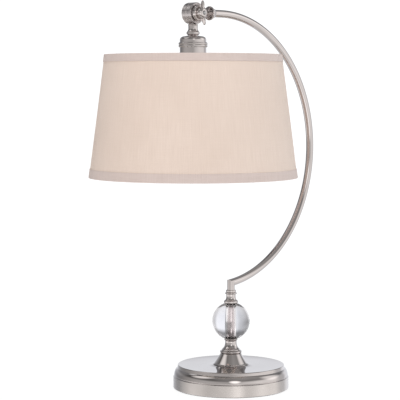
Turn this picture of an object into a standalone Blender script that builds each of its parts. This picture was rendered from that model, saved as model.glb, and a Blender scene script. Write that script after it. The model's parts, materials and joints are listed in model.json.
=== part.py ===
"""Table lamp with a weighted round base, a crystal ball, a bowed arm and a tilting drum shade.

Axes: +Z up, with the origin at the middle of the felt pad's underside. The arm lies in the XZ plane and
bows out to +X; its end reaches back over the base to the tilt joint, whose bolt lies along Y. The socket
and the shade hang beside the arm, on the +Y side of it, and swing about that bolt.

Every length here is in millimetres and becomes metres as its piece is built.
"""

import math

import bmesh
import bpy
from mathutils import Matrix, Vector

MM = 0.001
GAP = 0.3  # clearance between pieces that touch

# Base
BASE_RADIUS = 99.6
BAND_TOP = 21.4
SHOULDER_FOOT = 98.5
SHOULDER_TOP = 35.4
PLATE_RADIUS = 87.4
PLATE_EDGE = 4.0
BASE_HEIGHT = 41.1
SHELL_FOOT = 1.0
SHELL_WALL = 1.2
PAD_RADIUS = 97.2
PAD_THICKNESS = 2.2
WEIGHT_RADIUS = 92.0
WEIGHT_TOP = 17.0
HUB_RADIUS = 24.0
BUSHING_HEIGHT = 11.0
BUSHING_TURN = 45.0  # degrees from +X, towards the back
BUSHING_RADIUS = 3.6

# Threaded rod that clamps the base, the ball and the post together
ROD_RADIUS = 4.85
ROD_BORE = 3.2
ROD_HOLE = 5.3
ROD_FOOT = 5.0
ROD_TOP = 177.0
NUT_RADIUS = 9.5
NUT_HEIGHT = 5.0
RECESS_RADIUS = 14.0
RECESS_TOP = 13.6

# Bell, collar and the cups that hold the ball
BELL_FOOT_RADIUS = 30.6
BELL_TOP_RADIUS = 17.6
BELL_TOP = 60.4
COLLAR_RADIUS = 18.8
COLLAR_TOP = 65.6
BALL_RADIUS = 32.6
BALL_HEIGHT = 116.5
BALL_BORE = 7.0
SLEEVE_RADIUS = 6.35
CUP_LIP = 33.1  # from the ball's centre to the middle of each cup
SEAT_RADIUS = 10.2
WASHER_RADIUS = 9.8
POST_COLLAR_FOOT = 163.1
POST_COLLAR_TOP = 170.3

# Arm: a straight post, a mitred corner, one circular bow, and a short level stub
TUBE_RADIUS = 6.85
TUBE_WALL = 1.0
POST_FOOT = 167.8
BOW_CENTRE = (-26.6, 412.0)
BOW_RADIUS = 230.9
BOW_STEPS = 24
TUBE_SIDES = 10
STUB_END = -52.0
FERRULE_NARROW = -44.0
FERRULE_FACE = -55.0
FERRULE_RADIUS = 11.9
FERRULE_BORE = TUBE_RADIUS + GAP
FERRULE_HOLE = 5.5
SPIGOT_RADIUS = FERRULE_HOLE - GAP

# Tilt joint, measured from the bolt's middle: x and z across the bolt, y along it
JOINT_X = -77.0
JOINT_Z = BOW_CENTRE[1] + BOW_RADIUS
EYE_RADIUS = 14.0
EYE_HALF = 3.0
DRUM_RADIUS = 17.9
DRUM_NEAR = 4.6
DRUM_FAR = 25.4
DRUM_WALL = 2.4
BOLT_RADIUS = 3.0
BOLT_HOLE = 3.4
BOLT_END = -13.4
WING_SPAN = 20.6
WING_TURN = -6.0  # degrees that the wings lean from the vertical
WING_THICKNESS = 2.2

# Head, measured down from the bolt along the socket's own axis
HEAD_Y = (DRUM_NEAR + DRUM_FAR) / 2
STEM_RADIUS = 8.6
STEM_THREAD = 4.7
STEM_BORE = 3.2
STEM_HOLE = 5.2
STEM_FLARE = 11.5
CUP_TOP = -37.7
CUP_RADIUS = 22.5
CUP_END = -98.0
CUP_WALL = 1.0
RING_RADIUS = 24.6
RING_TOP = -48.6
RING_END = -57.0
HOLDER_RADIUS = 19.5
HOLDER_END = -108.0
SHELL_THREAD = 14.6
SWITCH_DROP = -84.0
SWITCH_HOLE = 3.4
BULB_TIP = -182.0
BULB_RADIUS = 30.0

# Shade
SHADE_TOP = -68.9
SHADE_END = -275.6
SHADE_TOP_RADIUS = 149.9
SHADE_END_RADIUS = 176.6
TRIM_WIDTH_TOP = 12.5
TRIM_WIDTH_END = 15.0
TRIM_THICKNESS = 0.7
FABRIC_THICKNESS = 0.9
WIRE_RADIUS = 1.6
SPOKES = 3
FITTER_BORE = HOLDER_RADIUS + 0.6
FITTER_RADIUS = 23.6
FITTER_THICKNESS = 2.4
SHADE_RING_WIDTH = 5.8

WIDE_STEPS = 36  # sides of the base and the shade
TURNED_STEPS = 20  # sides of the middle-sized turned pieces
SMALL_STEPS = 14  # sides of the small turned pieces

SOLIDS = "table_lamp"
CUTTERS = "cutters"


# Finishes: colour, roughness, metallic
FINISHES = {
    "polished_nickel": ((0.72, 0.69, 0.66), 0.12, 1.0),
    "grooved_nickel": ((0.70, 0.66, 0.62), 0.30, 1.0),
    "cast_iron": ((0.09, 0.09, 0.09), 0.75, 1.0),
    "zinc_steel": ((0.55, 0.55, 0.56), 0.35, 1.0),
    "brass": ((0.76, 0.58, 0.28), 0.30, 1.0),
    "felt": ((0.05, 0.05, 0.05), 0.95, 0.0),
    "crystal": ((0.95, 0.96, 0.97), 0.02, 0.0),
    "black_plastic": ((0.08, 0.08, 0.08), 0.50, 0.0),
    "dark_moulding": ((0.06, 0.05, 0.045), 0.45, 0.0),
    "card": ((0.55, 0.50, 0.42), 0.85, 0.0),
    "clear_washer": ((0.80, 0.80, 0.78), 0.60, 0.0),
    "linen": ((0.80, 0.67, 0.58), 0.90, 0.0),
    "linen_trim": ((0.66, 0.56, 0.50), 0.90, 0.0),
    "bulb_glass": ((0.93, 0.93, 0.91), 0.25, 0.0),
    "shade_wire": ((0.74, 0.72, 0.70), 0.35, 1.0),
}


def clear_scene():
    for old in list(bpy.data.objects):
        bpy.data.objects.remove(old, do_unlink=True)


def collection(name, hidden=False):
    made = bpy.data.collections.new(name)
    made.hide_render = hidden
    bpy.context.scene.collection.children.link(made)
    return made


def finish(name):
    """The Principled material of one finish, made the first time it is asked for."""
    if name in bpy.data.materials:
        return bpy.data.materials[name]
    colour, roughness, metallic = FINISHES[name]
    made = bpy.data.materials.new(name)
    made.use_nodes = True
    shader = made.node_tree.nodes["Principled BSDF"]
    shader.inputs["Base Color"].default_value = (*colour, 1.0)
    shader.inputs["Roughness"].default_value = roughness
    shader.inputs["Metallic"].default_value = metallic
    return made


def smooth(mesh):
    mesh.shade_smooth()
    mesh.set_sharp_from_angle(angle=math.radians(35))


def place(name, mesh, look, into=SOLIDS):
    """Puts a mesh in the scene as a named object with its finish."""
    mesh.name = name
    mesh.materials.clear()
    if look:
        mesh.materials.append(finish(look))
    piece = bpy.data.objects.new(name, mesh)
    bpy.data.collections[into].objects.link(piece)
    return piece


def settle(piece):
    """Turns an object with modifiers, or a curve, into a plain closed mesh in the object's own axes."""
    bpy.context.view_layer.update()
    ready = piece.evaluated_get(bpy.context.evaluated_depsgraph_get())
    mesh = bpy.data.meshes.new_from_object(ready)
    welded = bmesh.new()
    welded.from_mesh(mesh)
    bmesh.ops.remove_doubles(welded, verts=welded.verts, dist=0.005 * MM)
    welded.to_mesh(mesh)
    welded.free()
    smooth(mesh)
    return mesh


def settled(piece, look):
    """Replaces an object by its settled mesh, at the same place."""
    name = piece.name
    spot = piece.matrix_world.copy()
    mesh = settle(piece)
    bpy.data.objects.remove(piece)
    made = place(name, mesh, look)
    made.matrix_world = spot
    return made


def arc(centre, radius, first, last, steps):
    """Points of a circular arc in a profile; angles in degrees, 0 outwards and 90 up."""
    turns = [math.radians(first + (last - first) * i / steps) for i in range(steps + 1)]
    return [(centre[0] + radius * math.cos(a), centre[1] + radius * math.sin(a)) for a in turns]


def bend(start, pull, end, steps):
    """Points of a quadratic curve from start to end, drawn towards pull."""
    points = []
    for i in range(steps + 1):
        t = i / steps
        parts = ((1 - t) ** 2, start), (2 * t * (1 - t), pull), (t * t, end)
        points.append(tuple(sum(share * point[k] for share, point in parts) for k in (0, 1)))
    return points


def ring_profile(inner, outer, low, high):
    return [(outer, high), (outer, low), (inner, low), (inner, high)]


def turned(name, profile, look, steps=TURNED_STEPS, closed=True, at=(0, 0, 0), turn=(0, 0, 0)):
    """A turned piece. The profile is (radius, height) and runs down its outer side.

    A closed profile goes back up its bore; an open one starts and ends on the axis.
    """
    mesh = bpy.data.meshes.new(name)
    points = [(radius * MM, 0, height * MM) for radius, height in profile]
    edges = [(i, i + 1) for i in range(len(points) - 1)]
    if closed:
        edges.append((len(points) - 1, 0))
    mesh.from_pydata(points, edges, [])
    piece = place(name, mesh, None)
    screw = piece.modifiers.new("turn", "SCREW")
    screw.axis = "Z"
    screw.steps = steps
    screw.render_steps = steps
    screw.use_merge_vertices = True
    screw.merge_threshold = 0.00001
    piece.location = Vector(at) * MM
    piece.rotation_euler = [math.radians(a) for a in turn]
    bpy.context.view_layer.update()
    return settled(piece, look)


def cylinder(name, radius, low, high, look, steps=SMALL_STEPS, at=(0, 0, 0), turn=(0, 0, 0)):
    mesh = bpy.data.meshes.new(name)
    shape = bmesh.new()
    middle = Matrix.Translation((0, 0, (low + high) / 2 * MM))
    bmesh.ops.create_cone(
        shape,
        cap_ends=True,
        segments=steps,
        radius1=radius * MM,
        radius2=radius * MM,
        depth=(high - low) * MM,
        matrix=middle,
    )
    shape.to_mesh(mesh)
    shape.free()
    smooth(mesh)
    piece = place(name, mesh, look)
    piece.location = Vector(at) * MM
    piece.rotation_euler = [math.radians(a) for a in turn]
    bpy.context.view_layer.update()
    return piece


def combine(piece, other, operation):
    """Cuts or joins with an exact Boolean and keeps the other object as a hidden cutter."""
    look = piece.data.materials[0].name
    tool = piece.modifiers.new(operation.lower(), "BOOLEAN")
    tool.operation = operation
    tool.solver = "EXACT"
    tool.object = other
    made = settled(piece, look)
    bpy.data.collections[SOLIDS].objects.unlink(other)
    bpy.data.collections[CUTTERS].objects.link(other)
    other.name = "cutter_" + made.name
    other.hide_render = True
    other.display_type = "WIRE"
    return made


def wire(name, points, radius, look, bevel=2):
    """A round wire through points, as a closed mesh."""
    line = bpy.data.curves.new(name, "CURVE")
    line.dimensions = "3D"
    line.bevel_depth = radius * MM
    line.bevel_resolution = bevel
    line.use_fill_caps = True
    spline = line.splines.new("POLY")
    spline.points.add(len(points) - 1)
    for knot, point in zip(spline.points, points):
        knot.co = (*(Vector(point) * MM), 1.0)
    piece = bpy.data.objects.new(name, line)
    bpy.data.collections[SOLIDS].objects.link(piece)
    return settled(piece, look)


def flat_outline(name, outline, thickness, look):
    """A flat plate in the XY plane with the given outline, centred on that plane."""
    line = bpy.data.curves.new(name, "CURVE")
    line.dimensions = "2D"
    line.fill_mode = "BOTH"
    line.extrude = thickness / 2 * MM
    spline = line.splines.new("POLY")
    spline.use_cyclic_u = True
    spline.points.add(len(outline) - 1)
    for knot, (x, y) in zip(spline.points, outline):
        knot.co = (x * MM, y * MM, 0, 1.0)
    piece = bpy.data.objects.new(name, line)
    bpy.data.collections[SOLIDS].objects.link(piece)
    return settled(piece, look)


# Base -----------------------------------------------------------------------------------------------


def base_shell():
    """Spun shell: upright band, groove, quarter-round shoulder and a flat plate with a rounded edge."""
    plate = [(ROD_HOLE, BASE_HEIGHT)] + arc((PLATE_RADIUS, BASE_HEIGHT - PLATE_EDGE), PLATE_EDGE, 90, 0, 2)
    rim = PLATE_RADIUS + PLATE_EDGE
    pull = (SHOULDER_FOOT - 1.0, SHOULDER_TOP - 2.4)
    shoulder = bend((rim + 0.4, SHOULDER_TOP), pull, (SHOULDER_FOOT, BAND_TOP + 2.0), 4)
    floor = SHOULDER_FOOT - 0.5
    groove = [(floor, BAND_TOP + 1.4), (floor, BAND_TOP + 0.6), (BASE_RADIUS - 0.5, BAND_TOP)]
    band = [(BASE_RADIUS, BAND_TOP - 0.8), (BASE_RADIUS, SHELL_FOOT + 0.8), (BASE_RADIUS - 0.6, SHELL_FOOT)]
    bore = BASE_RADIUS - SHELL_WALL - 0.2
    inside = [
        (bore, SHELL_FOOT),
        (bore, BAND_TOP - 1.2),
        (SHOULDER_FOOT - 1.8, BAND_TOP + 3.0),
        (SHOULDER_FOOT - 5.0, SHOULDER_TOP - 3.6),
        (rim - 1.5, SHOULDER_TOP - SHELL_WALL),
        (rim - 1.5, SHOULDER_TOP + 1.4),
        (PLATE_RADIUS - 0.4, BASE_HEIGHT - SHELL_WALL),
        (ROD_HOLE, BASE_HEIGHT - SHELL_WALL),
    ]
    shell = turned("base_shell", plate + shoulder + groove + band + inside, "polished_nickel", WIDE_STEPS)
    radius = BUSHING_RADIUS + GAP
    spot = (0, 0, BUSHING_HEIGHT)
    hole = cylinder("cord_hole", radius, 80, 120, "black_plastic", SMALL_STEPS, spot, cord_turn())
    return combine(shell, hole, "DIFFERENCE")


def cord_turn():
    """Rotation that lays a piece's axis level, pointing to where the cord leaves the base."""
    return (0, 90, BUSHING_TURN)


def base_weight():
    """Cast disc with a hub that bears on the shell's plate and a recess for the rod's nut."""
    hub_top = BASE_HEIGHT - SHELL_WALL - GAP
    profile = [
        (HUB_RADIUS - 4, hub_top),
        (HUB_RADIUS, WEIGHT_TOP + 2),
        (HUB_RADIUS + 3, WEIGHT_TOP),
        (WEIGHT_RADIUS - 2, WEIGHT_TOP),
        (WEIGHT_RADIUS, WEIGHT_TOP - 2),
        (WEIGHT_RADIUS, PAD_THICKNESS + GAP),
        (RECESS_RADIUS, PAD_THICKNESS + GAP),
        (RECESS_RADIUS, RECESS_TOP),
        (ROD_HOLE, RECESS_TOP),
        (ROD_HOLE, hub_top),
    ]
    return turned("base_weight", profile, "cast_iron")


def base_pad():
    return cylinder("base_pad", PAD_RADIUS, 0, PAD_THICKNESS, "felt", WIDE_STEPS)


def cord_bushing():
    """Flanged bushing snapped into the band's wall from outside, with a through hole for the cord."""
    profile = [
        (4.6, BASE_RADIUS + 2.0),
        (5.4, BASE_RADIUS + 1.2),
        (5.4, BASE_RADIUS + GAP + 0.1),
        (BUSHING_RADIUS, BASE_RADIUS + GAP + 0.1),
        (BUSHING_RADIUS, BASE_RADIUS - 5.5),
        (2.4, BASE_RADIUS - 5.5),
        (2.4, BASE_RADIUS + 2.0),
    ]
    return turned("cord_bushing", profile, "black_plastic", 12, at=(0, 0, BUSHING_HEIGHT), turn=cord_turn())


def threaded_rod():
    return turned("threaded_rod", ring_profile(ROD_BORE, ROD_RADIUS, ROD_FOOT, ROD_TOP), "zinc_steel", 12)


def rod_fixings():
    washer_top = RECESS_TOP - GAP
    washer_foot = washer_top - 1.5
    washer = ring_profile(ROD_HOLE, RECESS_RADIUS - 1.5, washer_foot, washer_top)
    turned("rod_washer", washer, "zinc_steel", SMALL_STEPS)
    nut_top = washer_foot - GAP
    turned("rod_nut", ring_profile(5.7, NUT_RADIUS, nut_top - NUT_HEIGHT, nut_top), "zinc_steel", 6)


# Bell, ball and cups --------------------------------------------------------------------------------


def base_bell():
    foot = BASE_HEIGHT + GAP
    neck = (BELL_TOP_RADIUS + 0.6, BELL_TOP - 0.7)
    flare = bend(neck, (23.4, 50.6), (BELL_FOOT_RADIUS - 2.2, foot + 2.2), 4)
    outside = [(ROD_HOLE, BELL_TOP), (BELL_TOP_RADIUS, BELL_TOP)] + flare
    outside += [(BELL_FOOT_RADIUS, foot + 0.6), (BELL_FOOT_RADIUS, foot)]
    inside = bend((BELL_FOOT_RADIUS - 2.4, foot), (21.4, 50.8), (BELL_TOP_RADIUS - 1.4, BELL_TOP - 1.6), 3)
    return turned("base_bell", outside + inside + [(ROD_HOLE, BELL_TOP - 1.6)], "polished_nickel")


def bell_collar():
    foot = BELL_TOP + GAP
    bead = (COLLAR_TOP - foot) / 2
    edge = arc((COLLAR_RADIUS - bead, foot + bead), bead, 80, -80, 4)
    return turned("bell_collar", [(ROD_HOLE, COLLAR_TOP)] + edge + [(ROD_HOLE, foot)], "polished_nickel")


def seat(outward):
    """The recess of a cup around its washer, from the lip to the rod's hole, for the lower cup."""
    floor = BALL_HEIGHT - CUP_LIP
    return [(ROD_HOLE, floor), (SEAT_RADIUS, floor), (SEAT_RADIUS, floor + 1.85), (outward, floor + 1.95)]


def lower_ball_cup():
    foot = COLLAR_TOP + GAP
    floor = BALL_HEIGHT - CUP_LIP
    lip = [(11.6, floor + 1.2), (11.2, floor + 0.3)]
    vase = bend((10.1, floor - 1.6), (9.2, 73.4), (14.4, 68.4), 4)
    profile = seat(11.3) + lip + vase + [(15.6, foot + 1.2), (15.6, foot), (ROD_HOLE, foot)]
    return turned("lower_ball_cup", profile, "polished_nickel")


def upper_ball_cup():
    """Wide lip on the ball, a drawn-in waist, and a top that carries the post's collar."""
    top = POST_COLLAR_FOOT - GAP
    floor = BALL_HEIGHT + CUP_LIP
    waist = bend((8.4, top), (7.4, floor + 4.4), (11.4, floor + 2.4), 4)
    lip = [(12.3, floor + 1.4), (12.3, floor - 1.5), (SEAT_RADIUS + 1.2, floor - 1.95)]
    recess = [(SEAT_RADIUS, floor - 1.85), (SEAT_RADIUS, floor), (ROD_HOLE, floor), (ROD_HOLE, top)]
    return turned("upper_ball_cup", waist + lip + recess, "polished_nickel")


def ball_cap(radius):
    """Height of the ball's surface above its centre at a radius."""
    return math.sqrt(BALL_RADIUS**2 - radius**2)


def ball_washers():
    """Soft rings between the ball and each cup, with the ball's own slope on one side."""
    inner = BALL_BORE + 0.2
    back = CUP_LIP - GAP
    upper = [
        (WASHER_RADIUS, BALL_HEIGHT + back),
        (WASHER_RADIUS, BALL_HEIGHT + ball_cap(WASHER_RADIUS) + GAP),
        (inner, BALL_HEIGHT + ball_cap(inner) + GAP),
        (inner, BALL_HEIGHT + back),
    ]
    lower = [(radius, 2 * BALL_HEIGHT - height) for radius, height in reversed(upper)]
    turned("upper_ball_washer", upper, "clear_washer", SMALL_STEPS)
    turned("lower_ball_washer", lower, "clear_washer", SMALL_STEPS)


def crystal_ball():
    edge = math.degrees(math.acos(BALL_BORE / BALL_RADIUS))
    return turned("crystal_ball", arc((0, BALL_HEIGHT), BALL_RADIUS, edge, -edge, 10), "crystal")


def ball_sleeve():
    """Plated tube inside the ball that hides the rod."""
    reach = CUP_LIP - GAP
    profile = ring_profile(ROD_HOLE, SLEEVE_RADIUS, BALL_HEIGHT - reach, BALL_HEIGHT + reach)
    return turned("ball_sleeve", profile, "polished_nickel", SMALL_STEPS)


def post_collar():
    """Flange with a bead and a short socket that the post stands in."""
    flange = arc((9.1, POST_COLLAR_FOOT + 1.35), 1.35, 90, -90, 3)
    bore = TUBE_RADIUS + GAP
    outside = [
        (bore, POST_COLLAR_TOP),
        (8.4, POST_COLLAR_TOP),
        (8.8, POST_COLLAR_TOP - 0.5),
        (8.8, POST_COLLAR_FOOT + 3.9),
        (7.9, POST_COLLAR_FOOT + 3.2),
    ]
    step = [(ROD_HOLE, POST_COLLAR_FOOT), (ROD_HOLE, POST_FOOT - GAP), (bore, POST_FOOT - GAP)]
    return turned("post_collar", outside + flange + step, "polished_nickel")


# Arm ------------------------------------------------------------------------------------------------


def arm_path():
    """Middles of the arm's cross-sections with the direction that each one leans across, in XZ."""
    start_angle = -math.acos(-BOW_CENTRE[0] / BOW_RADIUS)
    corner = Vector((0, BOW_CENTRE[1] + BOW_RADIUS * math.sin(start_angle)))
    across_post = Vector((-1, 0))
    across_bow = -Vector((math.cos(start_angle), math.sin(start_angle)))
    mitre = (across_post + across_bow).normalized()
    path = [(Vector((0, POST_FOOT)), across_post), (corner, mitre / mitre.dot(across_post))]
    for i in range(1, BOW_STEPS + 1):
        angle = start_angle + (math.pi / 2 - start_angle) * i / BOW_STEPS
        out = Vector((math.cos(angle), math.sin(angle)))
        path.append((Vector(BOW_CENTRE) + out * BOW_RADIUS, -out))
    path.append((Vector((STUB_END, JOINT_Z)), Vector((0, -1))))
    return path


def arm_tube():
    """Hollow tube with a mitred corner, built ring by ring so that it keeps its width through the mitre."""
    shape = bmesh.new()
    skins = []
    for radius in (TUBE_RADIUS, TUBE_RADIUS - TUBE_WALL):
        rings = []
        for middle, across in arm_path():
            ring = []
            for k in range(TUBE_SIDES):
                turn = 2 * math.pi * k / TUBE_SIDES
                flat = middle + across * radius * math.cos(turn)
                ring.append(shape.verts.new(Vector((flat.x, radius * math.sin(turn), flat.y)) * MM))
            rings.append(ring)
        skins.append(rings)
    strips = [pair for rings in skins for pair in zip(rings, rings[1:])]
    strips += [(skins[0][0], skins[1][0]), (skins[0][-1], skins[1][-1])]
    for near, far in strips:
        for k in range(TUBE_SIDES):
            after = (k + 1) % TUBE_SIDES
            shape.faces.new((near[k], near[after], far[after], far[k]))
    bmesh.ops.recalc_face_normals(shape, faces=shape.faces)
    mesh = bpy.data.meshes.new("arm_tube")
    shape.to_mesh(mesh)
    shape.free()
    smooth(mesh)
    return place("arm_tube", mesh, "polished_nickel")


def arm_ferrule():
    """Turned cone over the tube's end; its axis is the tube's, so its heights run towards -X."""
    face = FERRULE_NARROW - FERRULE_FACE
    rim = [(FERRULE_RADIUS - 0.8, face), (FERRULE_RADIUS, face - 0.9), (FERRULE_RADIUS, face - 2.4)]
    cone = bend((10.4, face - 4.0), (9.4, 3.4), (8.1, 1.8), 3) + [(8.4, 1.2), (7.8, 0)]
    bore = [(FERRULE_BORE, 0), (FERRULE_BORE, face - 2.6), (FERRULE_HOLE, face - 2.6)]
    profile = [(FERRULE_HOLE, face)] + rim + cone + bore
    spot = (FERRULE_NARROW, 0, JOINT_Z)
    return turned("arm_ferrule", profile, "polished_nickel", at=spot, turn=(0, -90, 0))


def arm_eye():
    """Flat eye that the bolt goes through, with a neck and a spigot that plugs the tube."""
    disc = [(BOLT_HOLE, EYE_HALF), (EYE_RADIUS - 1, EYE_HALF), (EYE_RADIUS, EYE_HALF - 1)]
    disc += [(EYE_RADIUS, 1 - EYE_HALF), (EYE_RADIUS - 1, -EYE_HALF), (BOLT_HOLE, -EYE_HALF)]
    eye = turned("arm_eye", disc, "polished_nickel", TURNED_STEPS, at=(JOINT_X, 0, JOINT_Z), turn=(-90, 0, 0))
    reach = FERRULE_FACE - GAP - JOINT_X
    clear = DRUM_RADIUS + 2 * GAP
    neck = [(0, reach + 17), (SPIGOT_RADIUS, reach + 17), (SPIGOT_RADIUS, reach)]
    neck += [(5.9, reach), (5.9, clear), (2.8, clear - 1.4)]
    neck += [(2.8, EYE_RADIUS - 4), (0, EYE_RADIUS - 4)]
    stalk = turned("neck", neck, "polished_nickel", SMALL_STEPS, False, (JOINT_X, 0, JOINT_Z), (0, 90, 0))
    return combine(eye, stalk, "UNION")


# Tilt joint -----------------------------------------------------------------------------------------

AT_JOINT = (JOINT_X, 0, JOINT_Z)
AT_HEAD = (JOINT_X, HEAD_Y, JOINT_Z)
ALONG_BOLT = (-90, 0, 0)  # heights run towards +Y
OUT_OF_EYE = (90, 0, 0)  # heights run towards -Y


def friction_washer():
    profile = ring_profile(BOLT_HOLE, 11.0, EYE_HALF + GAP, DRUM_NEAR - GAP)
    return turned("friction_washer", profile, "clear_washer", SMALL_STEPS, at=AT_JOINT, turn=ALONG_BOLT)


def swivel_drum():
    """Hollow drum, open at the far side, with a groove around it and a hole below for the stem."""
    rim = DRUM_RADIUS
    bore = rim - DRUM_WALL
    profile = [
        (rim - 1.4, DRUM_FAR),
        (rim, DRUM_FAR - 1.6),
        (rim, HEAD_Y + 0.9),
        (rim - 0.9, HEAD_Y),
        (rim, HEAD_Y - 0.9),
        (rim, DRUM_NEAR + 1.6),
        (rim - 1.4, DRUM_NEAR),
        (BOLT_HOLE, DRUM_NEAR),
        (BOLT_HOLE, DRUM_NEAR + 2.6),
        (bore, DRUM_NEAR + 2.6),
        (bore, DRUM_FAR),
    ]
    drum = turned("swivel_drum", profile, "grooved_nickel", TURNED_STEPS, at=AT_JOINT, turn=ALONG_BOLT)
    hole = cylinder("stem_hole", STEM_HOLE, -30, -8, "black_plastic", SMALL_STEPS, AT_HEAD)
    return combine(drum, hole, "DIFFERENCE")


def drum_cap():
    """Domed plate that closes the drum's far side around the bolt's head."""
    edge = DRUM_RADIUS - DRUM_WALL - GAP
    profile = [
        (BOLT_HOLE, DRUM_FAR + 0.6),
        (8.0, DRUM_FAR + 0.4),
        (edge - 1.0, DRUM_FAR - 0.4),
        (edge, DRUM_FAR - 1.2),
        (edge, DRUM_FAR - 2.2),
        (BOLT_HOLE, DRUM_FAR - 1.4),
    ]
    return turned("drum_cap", profile, "polished_nickel", TURNED_STEPS, at=AT_JOINT, turn=ALONG_BOLT)


def clamp_bolt():
    head = DRUM_FAR + 0.6 + GAP
    profile = [(0, head + 2.6), (3.6, head + 2.2), (6.2, head + 0.8), (6.2, head), (BOLT_RADIUS, head)]
    profile += [(BOLT_RADIUS, BOLT_END + 0.8), (BOLT_RADIUS - 0.8, BOLT_END), (0, BOLT_END)]
    return turned("clamp_bolt", profile, "zinc_steel", 12, False, AT_JOINT, ALONG_BOLT)


def wing_nut():
    """Domed hub with two broad leaf-shaped wings whose tips lean out from the eye."""
    foot = EYE_HALF + GAP
    hub = [(BOLT_HOLE, 12.0), (5.0, 12.0), (8.8, 9.2), (10.0, 7.8), (10.0, foot + 0.5), (9.5, foot)]
    hub.append((BOLT_HOLE, foot))
    turn = (OUT_OF_EYE[0], WING_TURN, 0)
    nut = turned("wing_nut", hub, "polished_nickel", SMALL_STEPS, at=AT_JOINT, turn=turn)
    lower = bend((4.4, foot + 0.6), (13.5, foot + 0.4), (WING_SPAN - 1.4, 7.2), 4)
    upper = bend((WING_SPAN - 1.6, 12.0), (13.0, 15.4), (4.4, 10.4), 4)
    for side in (1, -1):
        outline = [(x * side, y) for x, y in lower + [(WING_SPAN, 9.6)] + upper]
        wing = flat_outline("wing", outline, WING_THICKNESS, "polished_nickel")
        upright = Matrix(((0, 0, 1, 0), (1, 0, 0, 0), (0, 1, 0, 0), (0, 0, 0, 1)))
        wing.matrix_world = nut.matrix_world @ upright
        nut = combine(nut, wing, "UNION")
    return nut


# Socket ---------------------------------------------------------------------------------------------

TO_SWITCH = (0, -90, 0)  # heights run towards -X


def head_piece(name, profile, look, steps=TURNED_STEPS, closed=True):
    return turned(name, profile, look, steps, closed, AT_HEAD)


def socket_stem():
    """Hollow turned stem between the drum and the socket cup, threaded at both ends."""
    top = -(DRUM_RADIUS + GAP)
    profile = [
        (STEM_THREAD, top + 6.0),
        (STEM_THREAD, top),
        (7.4, top),
        (STEM_RADIUS, top - 1.4),
        (STEM_RADIUS, -26.8),
        (9.4, -28.6),
        (STEM_FLARE, -31.6),
        (STEM_FLARE, -35.0),
        (9.2, -36.4),
        (9.2, CUP_TOP + GAP),
        (STEM_THREAD, CUP_TOP + GAP),
        (STEM_THREAD, -53.0),
        (STEM_BORE, -53.0),
        (STEM_BORE, top + 6.0),
    ]
    return head_piece("socket_stem", profile, "polished_nickel", SMALL_STEPS)


def stem_locknut():
    top = CUP_TOP - CUP_WALL - GAP
    return head_piece("stem_locknut", ring_profile(5.5, 9.0, top - 3.5, top), "zinc_steel", 6)


def socket_cup():
    """Drawn cup: low dome, rounded shoulder and a long straight wall."""
    inner = CUP_RADIUS - CUP_WALL
    flat = 11.0
    under = CUP_TOP - CUP_WALL
    outside = [(STEM_HOLE, CUP_TOP), (flat, CUP_TOP)]
    outside += bend((16, CUP_TOP - 0.7), (CUP_RADIUS, CUP_TOP - 1.8), (CUP_RADIUS, CUP_TOP - 7.0), 4)
    outside.append((CUP_RADIUS, CUP_END))
    inside = [(inner, CUP_END), (inner, CUP_TOP - 7.4), (19.4, CUP_TOP - 4.0)]
    inside += [(flat, under), (STEM_HOLE, under)]
    cup = head_piece("socket_cup", outside + inside, "polished_nickel")
    return combine(cup, switch_hole(SWITCH_HOLE, 10), "DIFFERENCE")


def switch_hole(radius, low):
    """Cutter for the switch's shaft, from its inner end out through the cup."""
    return cylinder("switch_hole", radius, low, 30, "black_plastic", SMALL_STEPS, switch_spot(), TO_SWITCH)


def socket_ring():
    bore = CUP_RADIUS + GAP
    profile = [
        (bore, RING_TOP),
        (RING_RADIUS - 0.8, RING_TOP),
        (RING_RADIUS, RING_TOP - 0.8),
        (RING_RADIUS, RING_END + 0.8),
        (RING_RADIUS - 0.8, RING_END),
        (bore, RING_END),
    ]
    return head_piece("socket_ring", profile, "polished_nickel")


def lampholder():
    """Moulded body with a boss on the stem, a cavity for the bulb's cap and a threaded skirt."""
    bore = SHELL_THREAD + 1.1
    profile = [
        (8.2, -48.0),
        (8.2, -60.0),
        (HOLDER_RADIUS, -61.5),
        (HOLDER_RADIUS, HOLDER_END),
        (bore, HOLDER_END),
        (bore, -70.0),
        (5.3, -70.0),
        (5.3, -48.0),
    ]
    holder = head_piece("lampholder", profile, "dark_moulding")
    return combine(holder, switch_hole(2.6, 17.6), "DIFFERENCE")


def socket_liner():
    """Card sleeve between the lampholder and the cup, with a notch for the switch's stem."""
    liner = head_piece("socket_liner", ring_profile(19.9, 20.7, CUP_END + 1, -62.0), "card")
    return combine(liner, switch_hole(SWITCH_HOLE, 10), "DIFFERENCE")


def bulb_contacts():
    head_piece("screw_shell", ring_profile(13.9, SHELL_THREAD, -100.0, -76.0), "brass", SMALL_STEPS)
    contact = [(0, -70.3), (7, -70.3), (7, -71.1), (3, -71.4), (2.2, -73.4), (0, -73.8)]
    head_piece("centre_contact", contact, "brass", 12, closed=False)


def switch_spot():
    return (JOINT_X, HEAD_Y, JOINT_Z + SWITCH_DROP)


def switch_knob():
    """Turn knob with a waisted grip on a thin shaft through the cup; its axis points to -X."""
    profile = [
        (0, 46.0),
        (4.2, 45.6),
        (5.4, 44.4),
        (5.4, 36.0),
        (4.0, 33.0),
        (2.0, 32.4),
        (2.0, 18.2),
        (0, 18.2),
    ]
    return turned("switch_knob", profile, "dark_moulding", 12, False, switch_spot(), TO_SWITCH)


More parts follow.
